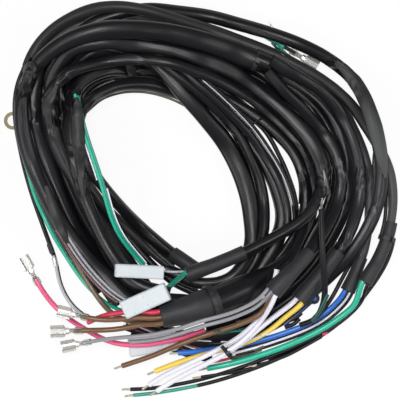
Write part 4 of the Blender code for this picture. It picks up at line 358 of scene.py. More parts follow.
# Loose wires and slack tubing between the cables: diameter in millimetres, insulation or sleeve, height of
# the centre in millimetres (none where it rests on what is below), whether its end is bare, and its route in
# the photograph's pixels
SLACK = {
    "slack_tube_a": (3.8, "sleeve", 3.2, False, [
        (76, 112), (81, 98), (91, 86), (107, 79), (128, 76.5), (150, 77.5), (167, 81)]),
    "olive_wire_a": (1.5, "olive", 2.6, False, [
        (80, 118), (90, 108.5), (101, 99.5), (113, 94.5), (126, 91.8), (141, 91.6), (156, 94),
        (171, 98.8), (184, 105), (196, 112)]),
    "olive_wire_b": (1.5, "brown", 3.4, False, [
        (78, 115), (88, 105), (99, 96.5), (112, 91.5), (126, 89), (141, 88.8), (157, 91.2), (172, 96),
        (186, 103), (198, 110)]),
    "slack_tube_i": (4.4, "sleeve", 3.0, False, [
        (84, 106), (92, 95.5), (102, 87.5), (114, 83), (130, 80.5), (148, 82), (166, 86), (182, 93)]),
    "slack_tube_j": (4.4, "sleeve", 3.0, False, [
        (214, 64), (232, 70), (248, 76.5), (262, 84), (276, 95), (290, 109)]),
    "slack_tube_k": (5.0, "sleeve", 3.0, False, [
        (196, 74), (210, 82), (224, 91), (238, 101), (251, 111), (262, 120), (273, 129), (284, 139.5),
        (293, 152.5), (299.5, 168), (303, 184), (303, 204)]),
    "slack_tube_p": (2.4, "sleeve", 2.0, False, [
        (383, 176), (386, 190), (386.5, 206), (385, 222), (381, 238)]),
    "slack_tube_t": (3.4, "sleeve", 3.0, False, [
        (379, 138), (376.5, 150), (375.4, 162), (375.8, 175), (375.8, 187), (374, 200)]),
    "slack_tube_r": (3.2, "sleeve", 2.4, False, [
        (215, 112), (225, 122), (234, 134), (242, 149), (249, 164), (254, 180), (257, 194)]),
    "dark_wire_e": (2.6, "black", 3.0, False, [
        (353, 260), (347, 270.5), (340.5, 282.5), (333, 296.5), (325, 308), (314, 318.5)]),
    "dark_wire_f": (2.4, "black", 1.4, False, [
        (296, 315), (283, 324), (270, 331), (257, 336), (243, 340)]),
    "white_cover_wire": (3.0, "white", None, False, [
        (275, 294), (269, 307), (260.5, 320.5), (249.5, 333.5), (238, 343.5), (228, 350.5)]),
    "white_strap": (2.2, "black", 22.6, False, [
        (221.5, 345.5), (225, 350), (228, 354), (231.5, 358)]),
    "slack_tube_l": (3.8, "sleeve", 2.6, False, [
        (176, 72), (190, 84), (205, 99), (220, 114), (232, 128), (242, 143), (250, 158), (256, 174),
        (260, 190), (262, 204)]),
    "slack_tube_m": (5.0, "sleeve", 3.0, False, [
        (84, 256), (94, 273), (105, 290), (118, 306)]),
    "slack_tube_n": (4.6, "sleeve", 3.0, False, [
        (116, 204), (130, 220), (144, 237), (158, 253), (174, 266)]),
    "slack_wire_a": (2.8, "black", 2.6, False, [
        (240, 109), (253, 119.5), (264, 129.5), (272, 141), (278.5, 153.5), (284.5, 166), (290, 180),
        (294.5, 194), (297, 210), (296, 226), (292, 242), (286, 254)]),
    "slack_wire_b": (3.4, "sleeve", 2.6, False, [
        (196, 86.5), (210, 97), (225, 110), (238, 123), (249, 135), (258, 148), (267, 162), (275, 177),
        (281, 192), (285, 206), (287, 220), (286, 234)]),
    "slack_tube_b": (5.2, "sleeve", 4.0, False, [
        (226, 59), (244, 66), (259, 72.5), (270, 81), (281, 91.5), (291, 102), (302, 115)]),
    "slack_tube_c": (4.4, "sleeve", 4.0, False, [
        (284, 83), (298, 91.5), (311, 103), (321, 115), (329, 128), (336, 141)]),
    "slack_tube_d": (4.6, "sleeve", 3.4, False, [
        (322, 146), (329, 159), (332.5, 174), (331.5, 189), (327.5, 204), (321, 218), (313, 232),
        (305, 247), (296, 262)]),
    "slack_tube_e": (4.4, "sleeve", 3.4, False, [
        (300, 222), (295, 233), (289, 243), (282, 253), (274, 262)]),
    "slack_tube_f": (4.6, "sleeve", 3.4, False, [
        (108, 209), (120, 226), (132, 242), (145, 257), (158, 270), (174, 283), (194, 293)]),
    "slack_tube_g": (5.0, "sleeve", 2.8, False, [
        (196, 343), (214, 343.5), (232, 341.5), (250, 335.5), (268, 326), (286, 315), (302, 303),
        (316, 289)]),
    "slack_tube_h": (5.6, "sleeve", 4.4, False, [
        (236, 322), (256, 318), (275, 309), (292, 297), (306, 284), (318, 270)]),
    "bundle_end": (11.2, "sleeve", 19.0, False, [
        (257, 59), (263, 61.3), (269, 63.6), (275, 66), (281, 68.6)]),
    "slack_tube_s": (2.6, "sleeve", 3.0, False, [
        (234, 68), (246, 72.5), (257, 77.5), (268, 84)]),
    "dark_wire_c": (2.0, "black", None, True, [
        (322, 337), (306, 346), (288, 355.5), (270, 362.2), (257, 365.6)]),
    "dark_wire_d": (2.0, "black", None, True, [
        (252, 368.6), (240, 371.4), (226, 374), (212, 376), (201, 377.6)]),
    "teal_wire_a": (1.2, "teal", None, False, [
        (258, 327), (245, 330.2), (230, 331.8), (214, 333)]),
    "teal_wire_b": (1.2, "dark_green", None, False, [
        (262, 324), (247, 328), (232, 329.8), (213, 330.5)]),
    "pale_wire_a": (0.9, "white", None, False, [
        (268, 333.5), (250, 339.5), (232, 341.8), (212, 341.5), (194, 340)]),
    "dark_blue_wire": (2.6, "dark_blue", None, False, [
        (313, 301), (304, 309), (294, 317.5), (284, 325.5)]),
    "dark_green_wire": (2.6, "dark_green", None, False, [
        (327, 294), (323, 303), (318.5, 312), (312, 321)]),
    "cut_wire_a": (2.6, "black", None, False, [
        (302, 313), (297, 317.5), (290, 321)]),
    "cut_wire_b": (2.6, "black", None, False, [
        (300, 319), (294, 324.5), (285, 328)]),
    "coil_wire": (1.8, "black", 0.9, False, [
        (122, 328.5), (140, 335), (158, 342.2), (176, 349.6), (194, 356), (212, 359)]),
    "cross_tip": (1.5, "tinned", None, False, [
        (321.6, 198), (321.4, 202), (321.2, 206), (321, 210)]),
    "pin": (0.9, "tinned", 6.0, False, [
        (268.5, 20.5), (270, 23), (271.5, 25.5), (273, 28)]),
    "pink_bit": (0.9, "maroon", None, False, [
        (280.5, 53.6), (282, 54.4), (284, 55.6)]),
    "olive_bit_a": (1.5, "olive", None, False, [
        (264, 347), (252, 352), (240, 356), (229, 358)]),
    "olive_bit_b": (1.3, "dark_green", None, False, [
        (262, 350.5), (250, 355), (240, 358), (231, 359.8)]),
    "red_bit": (1.8, "red", None, False, [
        (231, 358.8), (222, 360.8), (213, 361.8)]),
    "slack_tube_o": (5.0, "sleeve", 3.0, False, [
        (79, 109), (86.5, 97.5), (94, 90), (103, 84), (114, 80)]),
    "red_nub": (1.6, "red", None, False, [
        (322.5, 334.5), (325, 334), (327.5, 333.4)]),
    "tie_tail": (1.5, "black", None, False, [
        (251, 125.5), (255, 122.5), (259.5, 119.6), (262.5, 118.6)]),
    "teal_stub": (3.4, "green", None, False, [
        (187, 272), (181, 276.5), (174.5, 282), (168, 287.5)]),
    "pale_stub": (1.4, "white", None, False, [
        (160, 270), (170, 271.8), (180, 271.6), (191, 270.5)]),
    "green_crossing": (1.7, "teal", None, False, [
        (273, 38), (278, 44), (283, 50), (288, 55)]),
    "dark_crossing": (1.7, "dark_green", None, False, [
        (272, 42), (277, 47.5), (282, 52), (290, 55.5)]),
}

# Height of a slack tube's section against its width, wires felt through it, their turns a metre and depth
SLACK_SECTION = (0.95, 2, 0.8, 0.14)
COMPANION_SECTION = (0.95, 2, 0.5, 0.14)

# Loose tape and folds of tubing on top: widths along them (share of the length, millimetres), height of the
# section against its width, depth of its hollows, finish and route in the photograph's pixels
FLAPS = {
    "tape_end": ([(0, 0.8), (0.5, 2.6), (0.9, 3.8), (1, 3.6)], 0.3, 0.1, "dull_grey", [
        (323.5, 170), (324.8, 178), (326.2, 186), (327.6, 194)]),
    "left_flap": (
        [(0, 2.2), (0.18, 7.0), (0.36, 8.4), (0.65, 6.4), (0.9, 4.6), (1, 2.6)], 0.5, 0.22, "dull_lit", [
        (77.5, 98), (78.6, 108), (78.8, 120), (79.4, 137), (80.6, 157), (82.4, 178), (84, 196)]),
    "upper_flap": ([(0, 2.0), (0.3, 5.0), (0.7, 5.6), (1, 2.2)], 0.5, 0.22, "dull_lit", [
        (127, 64.5), (130, 68), (132.5, 72), (135.5, 75.5)]),
    "right_flap": ([(0, 3.0), (0.2, 8.6), (0.6, 9.4), (0.85, 7.0), (1, 1.2)], 0.34, 0.15, "dull_lit", [
        (336, 62), (347, 72), (357, 85), (365, 100), (371, 116), (376, 132), (380, 148), (383, 164),
        (385.5, 178)]),
    "side_flap": ([(0, 2.6), (0.3, 5.6), (0.7, 6.0), (1, 2.4)], 0.6, 0.2, "dull_lit", [
        (47, 186), (52, 202), (57.5, 217), (63, 230), (69, 243)]),
    "fold_a": ([(0, 1.6), (0.4, 4.4), (0.8, 3.6), (1, 1.2)], 0.5, 0.3, "dull_lit", [
        (24, 73), (29, 67), (33, 66), (36, 70), (33, 76)]),
    "fold_b": ([(0, 1.6), (0.4, 6.6), (0.7, 5.6), (1, 1.6)], 0.45, 0.3, "dull_lit", [
        (58, 86), (53, 96), (48, 106), (49, 116), (52, 127)]),
}
FLAP_RIDGES = (2, 0.8)
FLAP_LIFT = 1.6

# Crimped barrels on wires: wire, from and to in the photograph's pixels, diameter and finish
BARRELS = {
    "splice_sheath": ("rim_wire", (47, 244), (51, 253), 3.4, "shrink"),
    "splice_barrel": ("rim_wire", (53.5, 257), (56, 265), 3.0, "tinned"),
    "loop_tie": ("loop_wire_white", (249, 127), (251.5, 129.8), 6.6, "tie"),
}
BARREL_EDGE = 0.9

# Thin wires beside others: wire, distance aside and above in millimetres, from and to along it, diameter and
# insulation
COMPANIONS = {
    "white_wire_edge_a": ("thin_white_wire", 1.55, -0.2, 0.0, 0.98, 1.6, "black"),
    "white_wire_edge_b": ("thin_white_wire", -1.55, -0.2, 0.0, 0.98, 1.6, "black"),
    "loop_cover": ("loop_wire_white", 0.1, 0.9, 0.0, 1.0, 5.0, "sleeve"),
    "loop_line": ("loop_wire_white", -3.3, 0.9, 0.0, 1.0, 0.9, "pale_grey"),
    "loop_edge": ("loop_wire_white", -4.6, 0.4, 0.0, 1.0, 1.9, "black"),
    "green_pair": ("green_wire_b", -1.5, -0.3, 0.02, 1.0, 1.7, "teal"),
    "green_line_a": ("green_wire_b", 1.5, -0.3, 0.16, 0.46, 1.0, "white"),
    "green_line_b": ("green_wire_b", -2.8, -0.5, 0.5, 1.0, 1.0, "white"),
    "green_a_line": ("green_wire_a", -1.6, -0.3, 0.0, 0.6, 1.0, "white"),
    "grey_pair": ("grey_wire_c", 2.2, -0.4, 0.0, 1.0, 1.5, "grey"),
    "grey_between": ("grey_wire_c", 3.8, -0.8, 0.0, 0.9, 1.7, "maroon"),
    "coil_l": ("coil_wire", 1.6, 0.0, 0.12, 1.0, 1.7, "black"),
    "coil_a": ("coil_wire", -1.5, 0.0, 0.0, 1.0, 1.7, "maroon"),
    "coil_b": ("coil_wire", -2.9, 0.0, 0.04, 1.0, 1.5, "black"),
    "coil_c": ("coil_wire", -3.9, 0.2, 0.08, 1.0, 0.9, "white"),
    "coil_d": ("coil_wire", -5.0, 0.0, 0.1, 1.0, 1.7, "maroon"),
    "coil_e": ("coil_wire", -6.5, 0.0, 0.12, 1.0, 1.7, "black"),
    "coil_f": ("coil_wire", -8.0, 0.0, 0.16, 1.0, 1.7, "dark_green"),
    "coil_g": ("coil_wire", -9.5, 0.0, 0.2, 1.0, 1.7, "maroon"),
    "coil_h": ("coil_wire", -11.0, 0.0, 0.26, 1.0, 1.7, "black"),
    "coil_i": ("coil_wire", -0.7, -0.3, 0.0, 1.0, 1.2, "black"),
    "coil_j": ("coil_wire", -5.8, -0.3, 0.1, 1.0, 1.2, "black"),
    "coil_k": ("coil_wire", -7.2, -0.3, 0.1, 1.0, 1.2, "black"),
    "rim_wire_edge": ("rim_wire", -0.9, -0.7, 0.0, 1.0, 1.5, "black"),
    "ridge_wire": ("cross_wire", 1.3, 0.3, 0.05, 0.8, 1.6, "black"),
    "low_wire": ("black_wire_b", 1.9, 0.0, 0.34, 0.57, 2.0, "black"),
}

# Shrink tubes: sleeve, end, length, width over the sleeve and at the mouth in millimetres
SHRINKS = {
    "branch_a_shrink": ("branch_a_sleeve", "end", 33.0, 9.0, 11.6),
    "branch_b_shrink": ("branch_b_sleeve", "end", 37.0, 9.6, 12.4),
    "branch_c_shrink": ("branch_c_sleeve", "end", 22.0, 7.8, 9.2),
    "rim_shrink": ("rim_sleeve", "end", 40.0, 8.0, 9.2),
    "branch_d_shrink": ("branch_d_sleeve", "end", 38.0, 8.8, 9.2),
    "inner_shrink": ("inner_sleeve", "start", 17.0, 9.2, 9.2),
    "trunk_shrink": ("trunk_sleeve", "start", 35.0, 19.0, 13.0),
}
# Height of their section against its width, ridges, turns a metre and depth
SHRINK_SECTION = (0.96, 4, 2.0, 0.10)
SHRINK_GRIP = 0.375          # share of the length that keeps the first width
SHRINK_WAVES = (0.03, 0.015)
SHRINK_WALL = 0.001
SHRINK_LIP = 0.0004
LIP_REACH = 0.25             # share of a step between two rings
RIDGED_SHARE = 0.8           # of the section's form at the sleeve
RIDGED_FALL = 1.4            # how fast that share falls towards the mouth

# Wires: diameter in millimetres, insulation, far end
WIRES = {
    "brown_wire_a": (3.2, "brown", "spade"), "brown_wire_b": (3.2, "brown", "spade"),
    "red_wire": (3.2, "red", "object"), "grey_wire_a": (2.4, "grey", "spade"),
    "grey_wire_b": (2.4, "grey", "object"), "brown_wire_c": (3.2, "brown", "tip"),
    "white_wire_a": (3.2, "white", "tip"), "white_wire_b": (3.2, "white", "tip"),
    "yellow_wire": (3.2, "yellow", "tip"), "blue_wire": (3.2, "blue", "tip"),
    "thin_white_wire": (1.5, "white", "tip"), "green_wire_c": (3.6, "green", "tip"),
    "black_wire_a": (2.4, "black", "tip"), "black_wire_b": (2.2, "teal", "tip"),
    "pink_wire": (3.2, "pink", "spade"), "rim_wire": (2.0, "pale_grey", "object"),
    "green_wire_a": (2.4, "green", "object"), "tan_wire": (3.2, "tan", "object"),
    "grey_wire_c": (1.8, "grey", "object"), "green_wire_b": (1.8, "green", "object"),
    "loop_wire_black": (2.4, "black", "object"), "loop_wire_white": (1.4, "white", "object"),
    "cross_wire": (3.2, "black", "object"), "short_wire": (2.4, "black", "spade"),
    "ring_wire": (2.4, "black", "ring"),
}
# Wires whose first stretch has another insulation: where it ends in the photograph's pixels
SHEATHED = {"rim_wire": ((54, 256), "black"), "black_wire_b": ((197, 385), "black"),
            "short_wire": ((284, 48), "green")}
SHEATH_WALLS = 0.2           # millimetres that the other insulation adds to the diameter
CUT_EDGE = 0.93              # share of the radius at a wire's cut end

# The bare end of a wire: lengths in millimetres, and in metres where they say so
TIP_LENGTH = 5.5
CONDUCTOR = 1.4
STRANDS = 7
STRAND_SIDES = 6
STRAND_STEPS = 12
STRAND_PITCH = 0.011         # metres for one turn
STRAND_SUNK = 0.0004         # metres inside the insulation
STRAND_UNEVEN = 0.05         # share of the length by which some are shorter

# The boot between two branches: radius and lift in millimetres, finish and slot
BOOT_SPOT = (314, 298.5)
BOOT_HEIGHT = 7.5
BOOT_ENDS = 0.98
BOOT_RINGS = 15
BOOT_PIECES = {"boot": (3.6, 0.0, "tie", "sleeve"), "boot_plug": (2.0, 2.0, "blue", "blue_wire")}

FITTING_FINISHES = {
    "tinned": ("brown_a_spade", "brown_b_spade", "grey_a_spade", "pink_spade", "short_spade"),
    "brass": ("ring_terminal",),
    "cover": ("cover_a", "cover_b", "cover_c"),
    "tie": ("bundle_tie", "trunk_tie", "rim_tie", "white_tie"),
}

# Display colours of the insulation
INSULATION = {
    "brown": (116, 84, 58), "red": (214, 56, 86), "pink": (238, 96, 140), "grey": (152, 152, 158),
    "pale_grey": (188, 190, 194), "white": (238, 236, 248), "yellow": (250, 216, 92),
    "blue": (50, 114, 208), "dark_blue": (34, 60, 110), "green": (40, 182, 150),
    "dark_green": (24, 78, 64), "black": (18, 18, 21), "tan": (116, 99, 76), "olive": (84, 80, 52),
    "teal": (30, 150, 128), "maroon": (92, 44, 44), "dull_grey": (96, 100, 96),
}
# Roughness and specular level of insulation, dull where its brightest channel is below the first number
DARK_INSULATION = 0.02
DULL_GLOSS = (0.36, 0.24)
PLAIN_GLOSS = (0.26, 0.5)

# Textures of cables: repeats round and along them, scale, detail and roughness
CABLE_TEXTURES = {
    "creases": (4.0, 1.6, 3.0, 3.0, 0.55), "pleats": (3.0, 2.0, 4.0, 1.0, 0.4),
    "tubing_grain": (30.0, 30.0, 6.0, 2.0, 0.6), "folds": (5.0, 3.0, 4.0, 3.0, 0.55),
    "shrink_grain": (40.0, 40.0, 8.0, 2.0, 0.6), "drawn": (8.0, 1.0, 5.0, 2.0, 0.5),
    "marks": (3.0, 5.0, 5.0, 3.0, 0.6),
}
# Painted light on the tubing, standing in for the side lamps, in eighths of a metre from the coil's middle:
# where it begins and is full at the sides, and where it fades out towards the back, counted from half of one
# in front of the middle
SIDE_LIGHT_SCALE = 8.0
SIDE_LIGHT_SIDES = (0.62, 0.84)
SIDE_LIGHT_BACK = (0.70, 0.95)
SIDE_LIGHT_SHIFT = 0.5
BLACK = (0.0, 0.0, 0.0, 1.0)
WHITE = (1.0, 1.0, 1.0, 1.0)

# Lines along the gaps through which the floor shows, in the photograph's pixels
OPEN_GAPS = [
    [(264, 184), (268, 194), (271, 206), (272, 218), (273, 228)],
    [(274, 140), (279, 150), (285, 158), (290, 168), (294, 178), (296, 190)],
    [(350, 118), (356, 128), (363, 138), (370, 148)],
    [(200, 22), (215, 26), (230, 31), (245, 36), (260, 40), (290, 49), (305, 55), (320, 64), (335, 74),
     (350, 88), (360, 100), (365, 108)],
    [(361, 218), (361, 228), (356, 238), (350, 248)],
    [(384, 190), (382, 210), (381, 225), (377, 245), (371, 258), (365, 270), (358, 282)],
]

# Studio: the floor, the world's light and the lamps (place, size in metres, power)
FLOOR_REACH = 4.0
FLOOR_LEVEL = -0.0002
FLOOR_COLOUR = (0.9, 0.9, 0.9, 1.0)
FLOOR_GLOW = 0.9
AMBIENT = 0.09
GLOSSY_BACKDROP = 0.26
PANELS = {
    "overhead_panel": ((-0.25, 0.35, 3.6), (0.9, 0.9), 80.0),
    "left_panel": ((-1.3, -0.7, 1.5), (1.1, 1.1), 17.0),
    "right_panel": ((1.5, -0.3, 1.3), (1.1, 1.1), 14.0),
}
SENSOR = 36.0
CAMERA_HEIGHT = 3.0
CAMERA_CLIP = 20.0
COIL_MIDDLE = 0.012          # height at which the photograph's scale holds


def linear(red, green, blue):
    """A display colour as the linear one that shaders take."""
    return tuple((value / 255 / 12.92) if value <= 10 else ((value / 255 + 0.055) / 1.055) ** 2.4
                 for value in (red, green, blue))


class Expression:
    """A shader socket that takes part in arithmetic."""

    def __init__(self, finish, socket):
        self.finish = finish
        self.socket = socket

    def _math(self, operation, *values):
        return self.finish.node("ShaderNodeMath", {"operation": operation}, dict(enumerate(values)))

    def __add__(self, other):
        return self._math("ADD", self, other)

    def __mul__(self, other):
        return self._math("MULTIPLY", self, other)

    def __abs__(self):
        return self._math("ABSOLUTE", self)

    def larger(self, other):
        return self._math("MAXIMUM", self, other)

    __radd__ = __add__
    __rmul__ = __mul__


class Finish:
    """The nodes of a material, or of the world, in the making."""

    def __init__(self, owner, target="ShaderNodeOutputMaterial"):
        self.owner = owner
        self.target = target
        owner.use_nodes = True
        self.tree = owner.node_tree
        self.tree.nodes.clear()

    def node(self, kind, settings=None, inputs=None, output=0):
        """A new node's output; its settings come first, then its inputs."""
        made = self.tree.nodes.new(kind)
        for key, value in (settings or {}).items():
            if key == "stops":
                for element, (place, colour) in zip(made.color_ramp.elements, value):
                    element.position = place
                    element.color = colour
            else:
                setattr(made, key, value)
        for key, value in (inputs or {}).items():
            if isinstance(value, Expression):
                self.tree.links.new(value.socket, made.inputs[key])
            else:
                made.inputs[key].default_value = value
        return Expression(self, made.outputs[output])

    def surface(self, shader):
        target = self.tree.nodes.new(self.target)
        self.tree.links.new(shader.socket, target.inputs["Surface"])
        return self.owner

    def place(self):
        return self.node("ShaderNodeTexCoord", output="Object")

    def ray(self, kind):
        return self.node("ShaderNodeLightPath", output=kind)

    def noise(self, vector, scale, detail, roughness):
        return self.node("ShaderNodeTexNoise", None, {"Vector": vector, "Scale": scale, "Detail": detail,
                                                      "Roughness": roughness})

    def along(self, texture):
        """A texture laid round and along a cable."""
        turns, lengths, scale, detail, roughness = CABLE_TEXTURES[texture]
        place = self.node("ShaderNodeUVMap", {"uv_map": "cable"})
        stretched = self.node("ShaderNodeMapping", None, {"Vector": place, "Scale": (turns, lengths, 1.0)})
        return self.noise(stretched, scale, detail, roughness)

    def ramp(self, value, stops):
        return self.node("ShaderNodeValToRGB", {"stops": stops}, {"Fac": value})

    def blend(self, factor, first, second):
        """A colour between two, given without their alpha."""
        inputs = {0: factor, 6: (*first, 1.0), 7: (*second, 1.0)}
        return self.node("ShaderNodeMix", {"data_type": "RGBA"}, inputs, output=2)

    def bump(self, height, strength, distance):
        return self.node("ShaderNodeBump", None, {"Height": height, "Strength": strength,
                                                  "Distance": distance})

    def coated(self, inputs):
        return self.surface(self.node("ShaderNodeBsdfPrincipled", None, inputs))


def finish_named(name):
    return Finish(bpy.data.materials.new(name))


def sleeve_finish(name, base, gloss):
    """Soft black tubing: long creases, a fine grain, uneven gloss, and painted light in its colour: lighter
    on the coil's outer sides towards the front, where the side lamps fall, and a little lighter on the raised
    creases.
    """
    make = finish_named(name)
    creases = make.along("creases")
    pleats = make.along("pleats")
    grain = make.along("tubing_grain")
    place = make.place()
    aside = make.node("ShaderNodeSeparateXYZ", None, {"Vector": place}, output="X")
    ahead = make.node("ShaderNodeSeparateXYZ", None, {"Vector": place}, output="Y")
    sides = make.ramp(abs(aside) * SIDE_LIGHT_SCALE, [(SIDE_LIGHT_SIDES[0], BLACK), (SIDE_LIGHT_SIDES[1], WHITE)])
    front = make.ramp(ahead * SIDE_LIGHT_SCALE + SIDE_LIGHT_SHIFT, [(SIDE_LIGHT_BACK[0], WHITE), (SIDE_LIGHT_BACK[1], BLACK)])
    # painted light: a lighter copy of the tubing's colour, mixed in on the outer sides towards the front and
    # on the raised creases
    painted_lit_colour = tuple(value * 4.0 + 0.006 for value in base)
    return make.coated({
        "Base Color": make.blend(sides * front * 0.8 + creases * 0.2, base, painted_lit_colour),
        "Roughness": grain * 0.10 + gloss, "Specular IOR Level": 0.26,
        "Normal": make.bump(creases * 0.6 + pleats * 0.3 + grain * 0.04, strength=0.3, distance=0.0010)})


def shrink_finish(name, shaded_fold_colour, lit_fold_colour):
    make = finish_named(name)
    folds = make.along("folds")
    grain = make.along("shrink_grain")
    return make.coated({
        # painted shade and highlight: the colour follows the fold bumps, darker in their hollows and lighter
        # on their crests
        "Base Color": make.blend(folds, shaded_fold_colour, lit_fold_colour),
        "Roughness": grain * 0.12 + 0.5, "Specular IOR Level": 0.4,
        "Normal": make.bump(folds * 0.8 + grain * 0.1, strength=0.35, distance=0.0008)})


def wire_finish(name, colour):
    """Glossy insulation with a faint drawn texture and handling marks, duller where it is dark."""
    make = finish_named(name)
    drawn = make.along("drawn")
    marks = make.along("marks")
    light = tuple(min(1.0, value * 1.06) for value in colour)
    dark = tuple(value * 0.86 for value in colour)
    roughness, sheen = DULL_GLOSS if max(colour) < DARK_INSULATION else PLAIN_GLOSS
    return make.coated({
        "Base Color": make.blend(marks, dark, light),
        "Roughness": marks * 0.12 + roughness, "Specular IOR Level": sheen,
        "Normal": make.bump(drawn, strength=0.12, distance=0.0004)})


def metal_finish(name, colour, roughness, stain):
    make = finish_named(name)
    place = make.place()
    spots = make.noise(place, scale=900.0, detail=3.0, roughness=0.6)
    rolled = make.noise(place, scale=2600.0, detail=2.0, roughness=0.5)
    return make.coated({
        "Base Color": make.blend(spots, colour, stain), "Metallic": 0.6,
        "Roughness": rolled * 0.16 + roughness, "Normal": make.bump(rolled, strength=0.12, distance=0.0003)})


def cover_finish(name, shaded, pale):
    """Milky soft plastic that lets some light through."""
    make = finish_named(name)
    cloud = make.noise(make.place(), scale=160.0, detail=3.0, roughness=0.6)
    return make.coated({
        "Base Color": make.blend(cloud, shaded, pale),
        "Roughness": cloud * 0.15 + 0.22, "Transmission Weight": 0.25, "IOR": 1.49, "Alpha": 0.93,
        "Normal": make.bump(cloud, strength=0.1, distance=0.0004)})


def tie_finish(name, dark, light):
    make = finish_named(name)
    grain = make.noise(make.place(), scale=1500.0, detail=2.0, roughness=0.5)
    return make.coated({
        "Base Color": make.blend(grain, dark, light), "Roughness": grain * 0.15 + 0.4,
        "Normal": make.bump(grain, strength=0.15, distance=0.0003)})


FINISHES = {"sleeve": sleeve_finish("black_tubing", (0.0038, 0.0038, 0.0048), 0.29),
            # duller tubing whose lighter base colour is painted light, for the pieces that the side lamps
            # fall on
            "dull_lit": sleeve_finish("dull_lit_tubing", (0.0150, 0.0154, 0.0156), 0.40),
            # shrink tubing: the darker colour is painted shade in the folds' hollows, the lighter one painted
            # highlight on their crests
            "shrink": shrink_finish("shrink_tubing", linear(30, 30, 33), linear(46, 46, 49)),
            "tinned": metal_finish("tinned_sheet", linear(226, 225, 222), 0.22, linear(176, 173, 166)),
            "copper": metal_finish("tinned_strands", linear(222, 216, 204), 0.3, linear(168, 158, 140)),
            "brass": metal_finish("dull_brass", linear(96, 90, 62), 0.34, linear(62, 58, 42)),
            "cover": cover_finish("milky_plastic", linear(212, 221, 227), linear(228, 235, 239)),
            "tie": tie_finish("black_nylon", linear(22, 22, 24), linear(40, 40, 42))}
for insulation, colour in INSULATION.items():
    FINISHES[insulation] = wire_finish(insulation + "_insulation", linear(*colour))


def lengths_of(line):
    """How far along a line each of its points is."""
    return np.concatenate([[0.0], np.cumsum(np.linalg.norm(np.diff(line, axis=0), axis=1))])


def cut_line(line, start, stop, step):
    """The stretch of a line between two lengths, with evenly spaced points, in metres."""
    where = np.linspace(start, stop, max(2, int(round((stop - start) / step)) + 1))
    return np.stack([np.interp(where, lengths_of(line), line[:, axis]) for axis in range(3)], axis=1)


def smooth_line(points, step):
    """A smooth curve through a route's points, with evenly spaced points, in metres."""
    points = np.array(points, dtype=float) * MM
    ends = np.vstack([2 * points[0] - points[1], points, 2 * points[-1] - points[-2]])
    rows = []
    for index in range(1, len(ends) - 2):
        before, start, stop, after = ends[index - 1:index + 3]
        for part in range(CURVE_PARTS):
            t = part / CURVE_PARTS
            rows.append(0.5 * (2 * start + (stop - before) * t
                               + (2 * before - 5 * start + 4 * stop - after) * t ** 2
                               + (3 * start - before - 3 * stop + after) * t ** 3))
    rows.append(points[-1])
    fine = np.array(rows)
    return cut_line(fine, 0.0, lengths_of(fine)[-1], step)


def window_of(reach):
    """Weights that fall off smoothly on both sides."""
    window = np.hanning(reach)
    return window / window.sum()


def smoothed(padded, window):
    """Each column of some values, averaged over a window."""
    return np.stack([np.convolve(padded[:, axis], window, mode="valid")
                     for axis in range(padded.shape[1])], axis=1)


def eased(line, reach):
    """The same line with its bends drawn softer."""
    half = reach // 2
    before = 2 * line[0] - line[half:0:-1]
    after = 2 * line[-1] - line[-2:-half - 2:-1]
    return smoothed(np.vstack([before, line, after]), window_of(reach + 2)[1:-1])


def held(values, window):
    """Values averaged over a window, with the first and last held at the ends."""
    half = len(window) // 2
    return smoothed(np.pad(values, ((half, half), (0, 0)), mode="edge"), window)


def photo_spot(x, y):
    """Where a pixel of the photograph lies on the floor."""
    return ((x - PHOTO_CENTRE[0]) * PHOTO_UNIT * MM, (PHOTO_CENTRE[1] - y) * PHOTO_UNIT * MM)


def nearest(line, spot):
    """The point of a line that lies nearest to a pixel of the photograph, and how far off it is."""
    apart = np.linalg.norm(line[:, :2] - np.array(photo_spot(*spot)), axis=1)
    return apart.argmin(), apart.min()


LINES = {name: smooth_line(route, CABLE_STEP) for name, route in ROUTES.items()}
for wire in WIRES:
    if len(LINES[wire]) > SHORTEST_EASED:
        LINES[wire] = eased(LINES[wire], EASING)


def directions(line):
    """At each point of a line, the directions ahead, to its side and up, square to one another."""
    tangent = np.gradient(line, axis=0)
    tangent /= np.linalg.norm(tangent, axis=1)[:, None]
    side = np.cross(tangent, np.array([0.0, 0.0, 1.0]))
    side /= np.maximum(np.linalg.norm(side, axis=1)[:, None], 1e-9)
    return tangent, side, np.cross(side, tangent)


def piece(name, mesh, finish):
    mesh.materials.append(finish)
    made = bpy.data.objects.new(name, mesh)
    bpy.context.scene.collection.objects.link(made)
    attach(made, "root")
    return made


def placed(line, side, up, sections):
    """The points of a skin, one ring for each cross section (side, up)."""
    return line[:, None, :] + side[:, None, :] * sections[:, :, :1] + up[:, None, :] * sections[:, :, 1:]


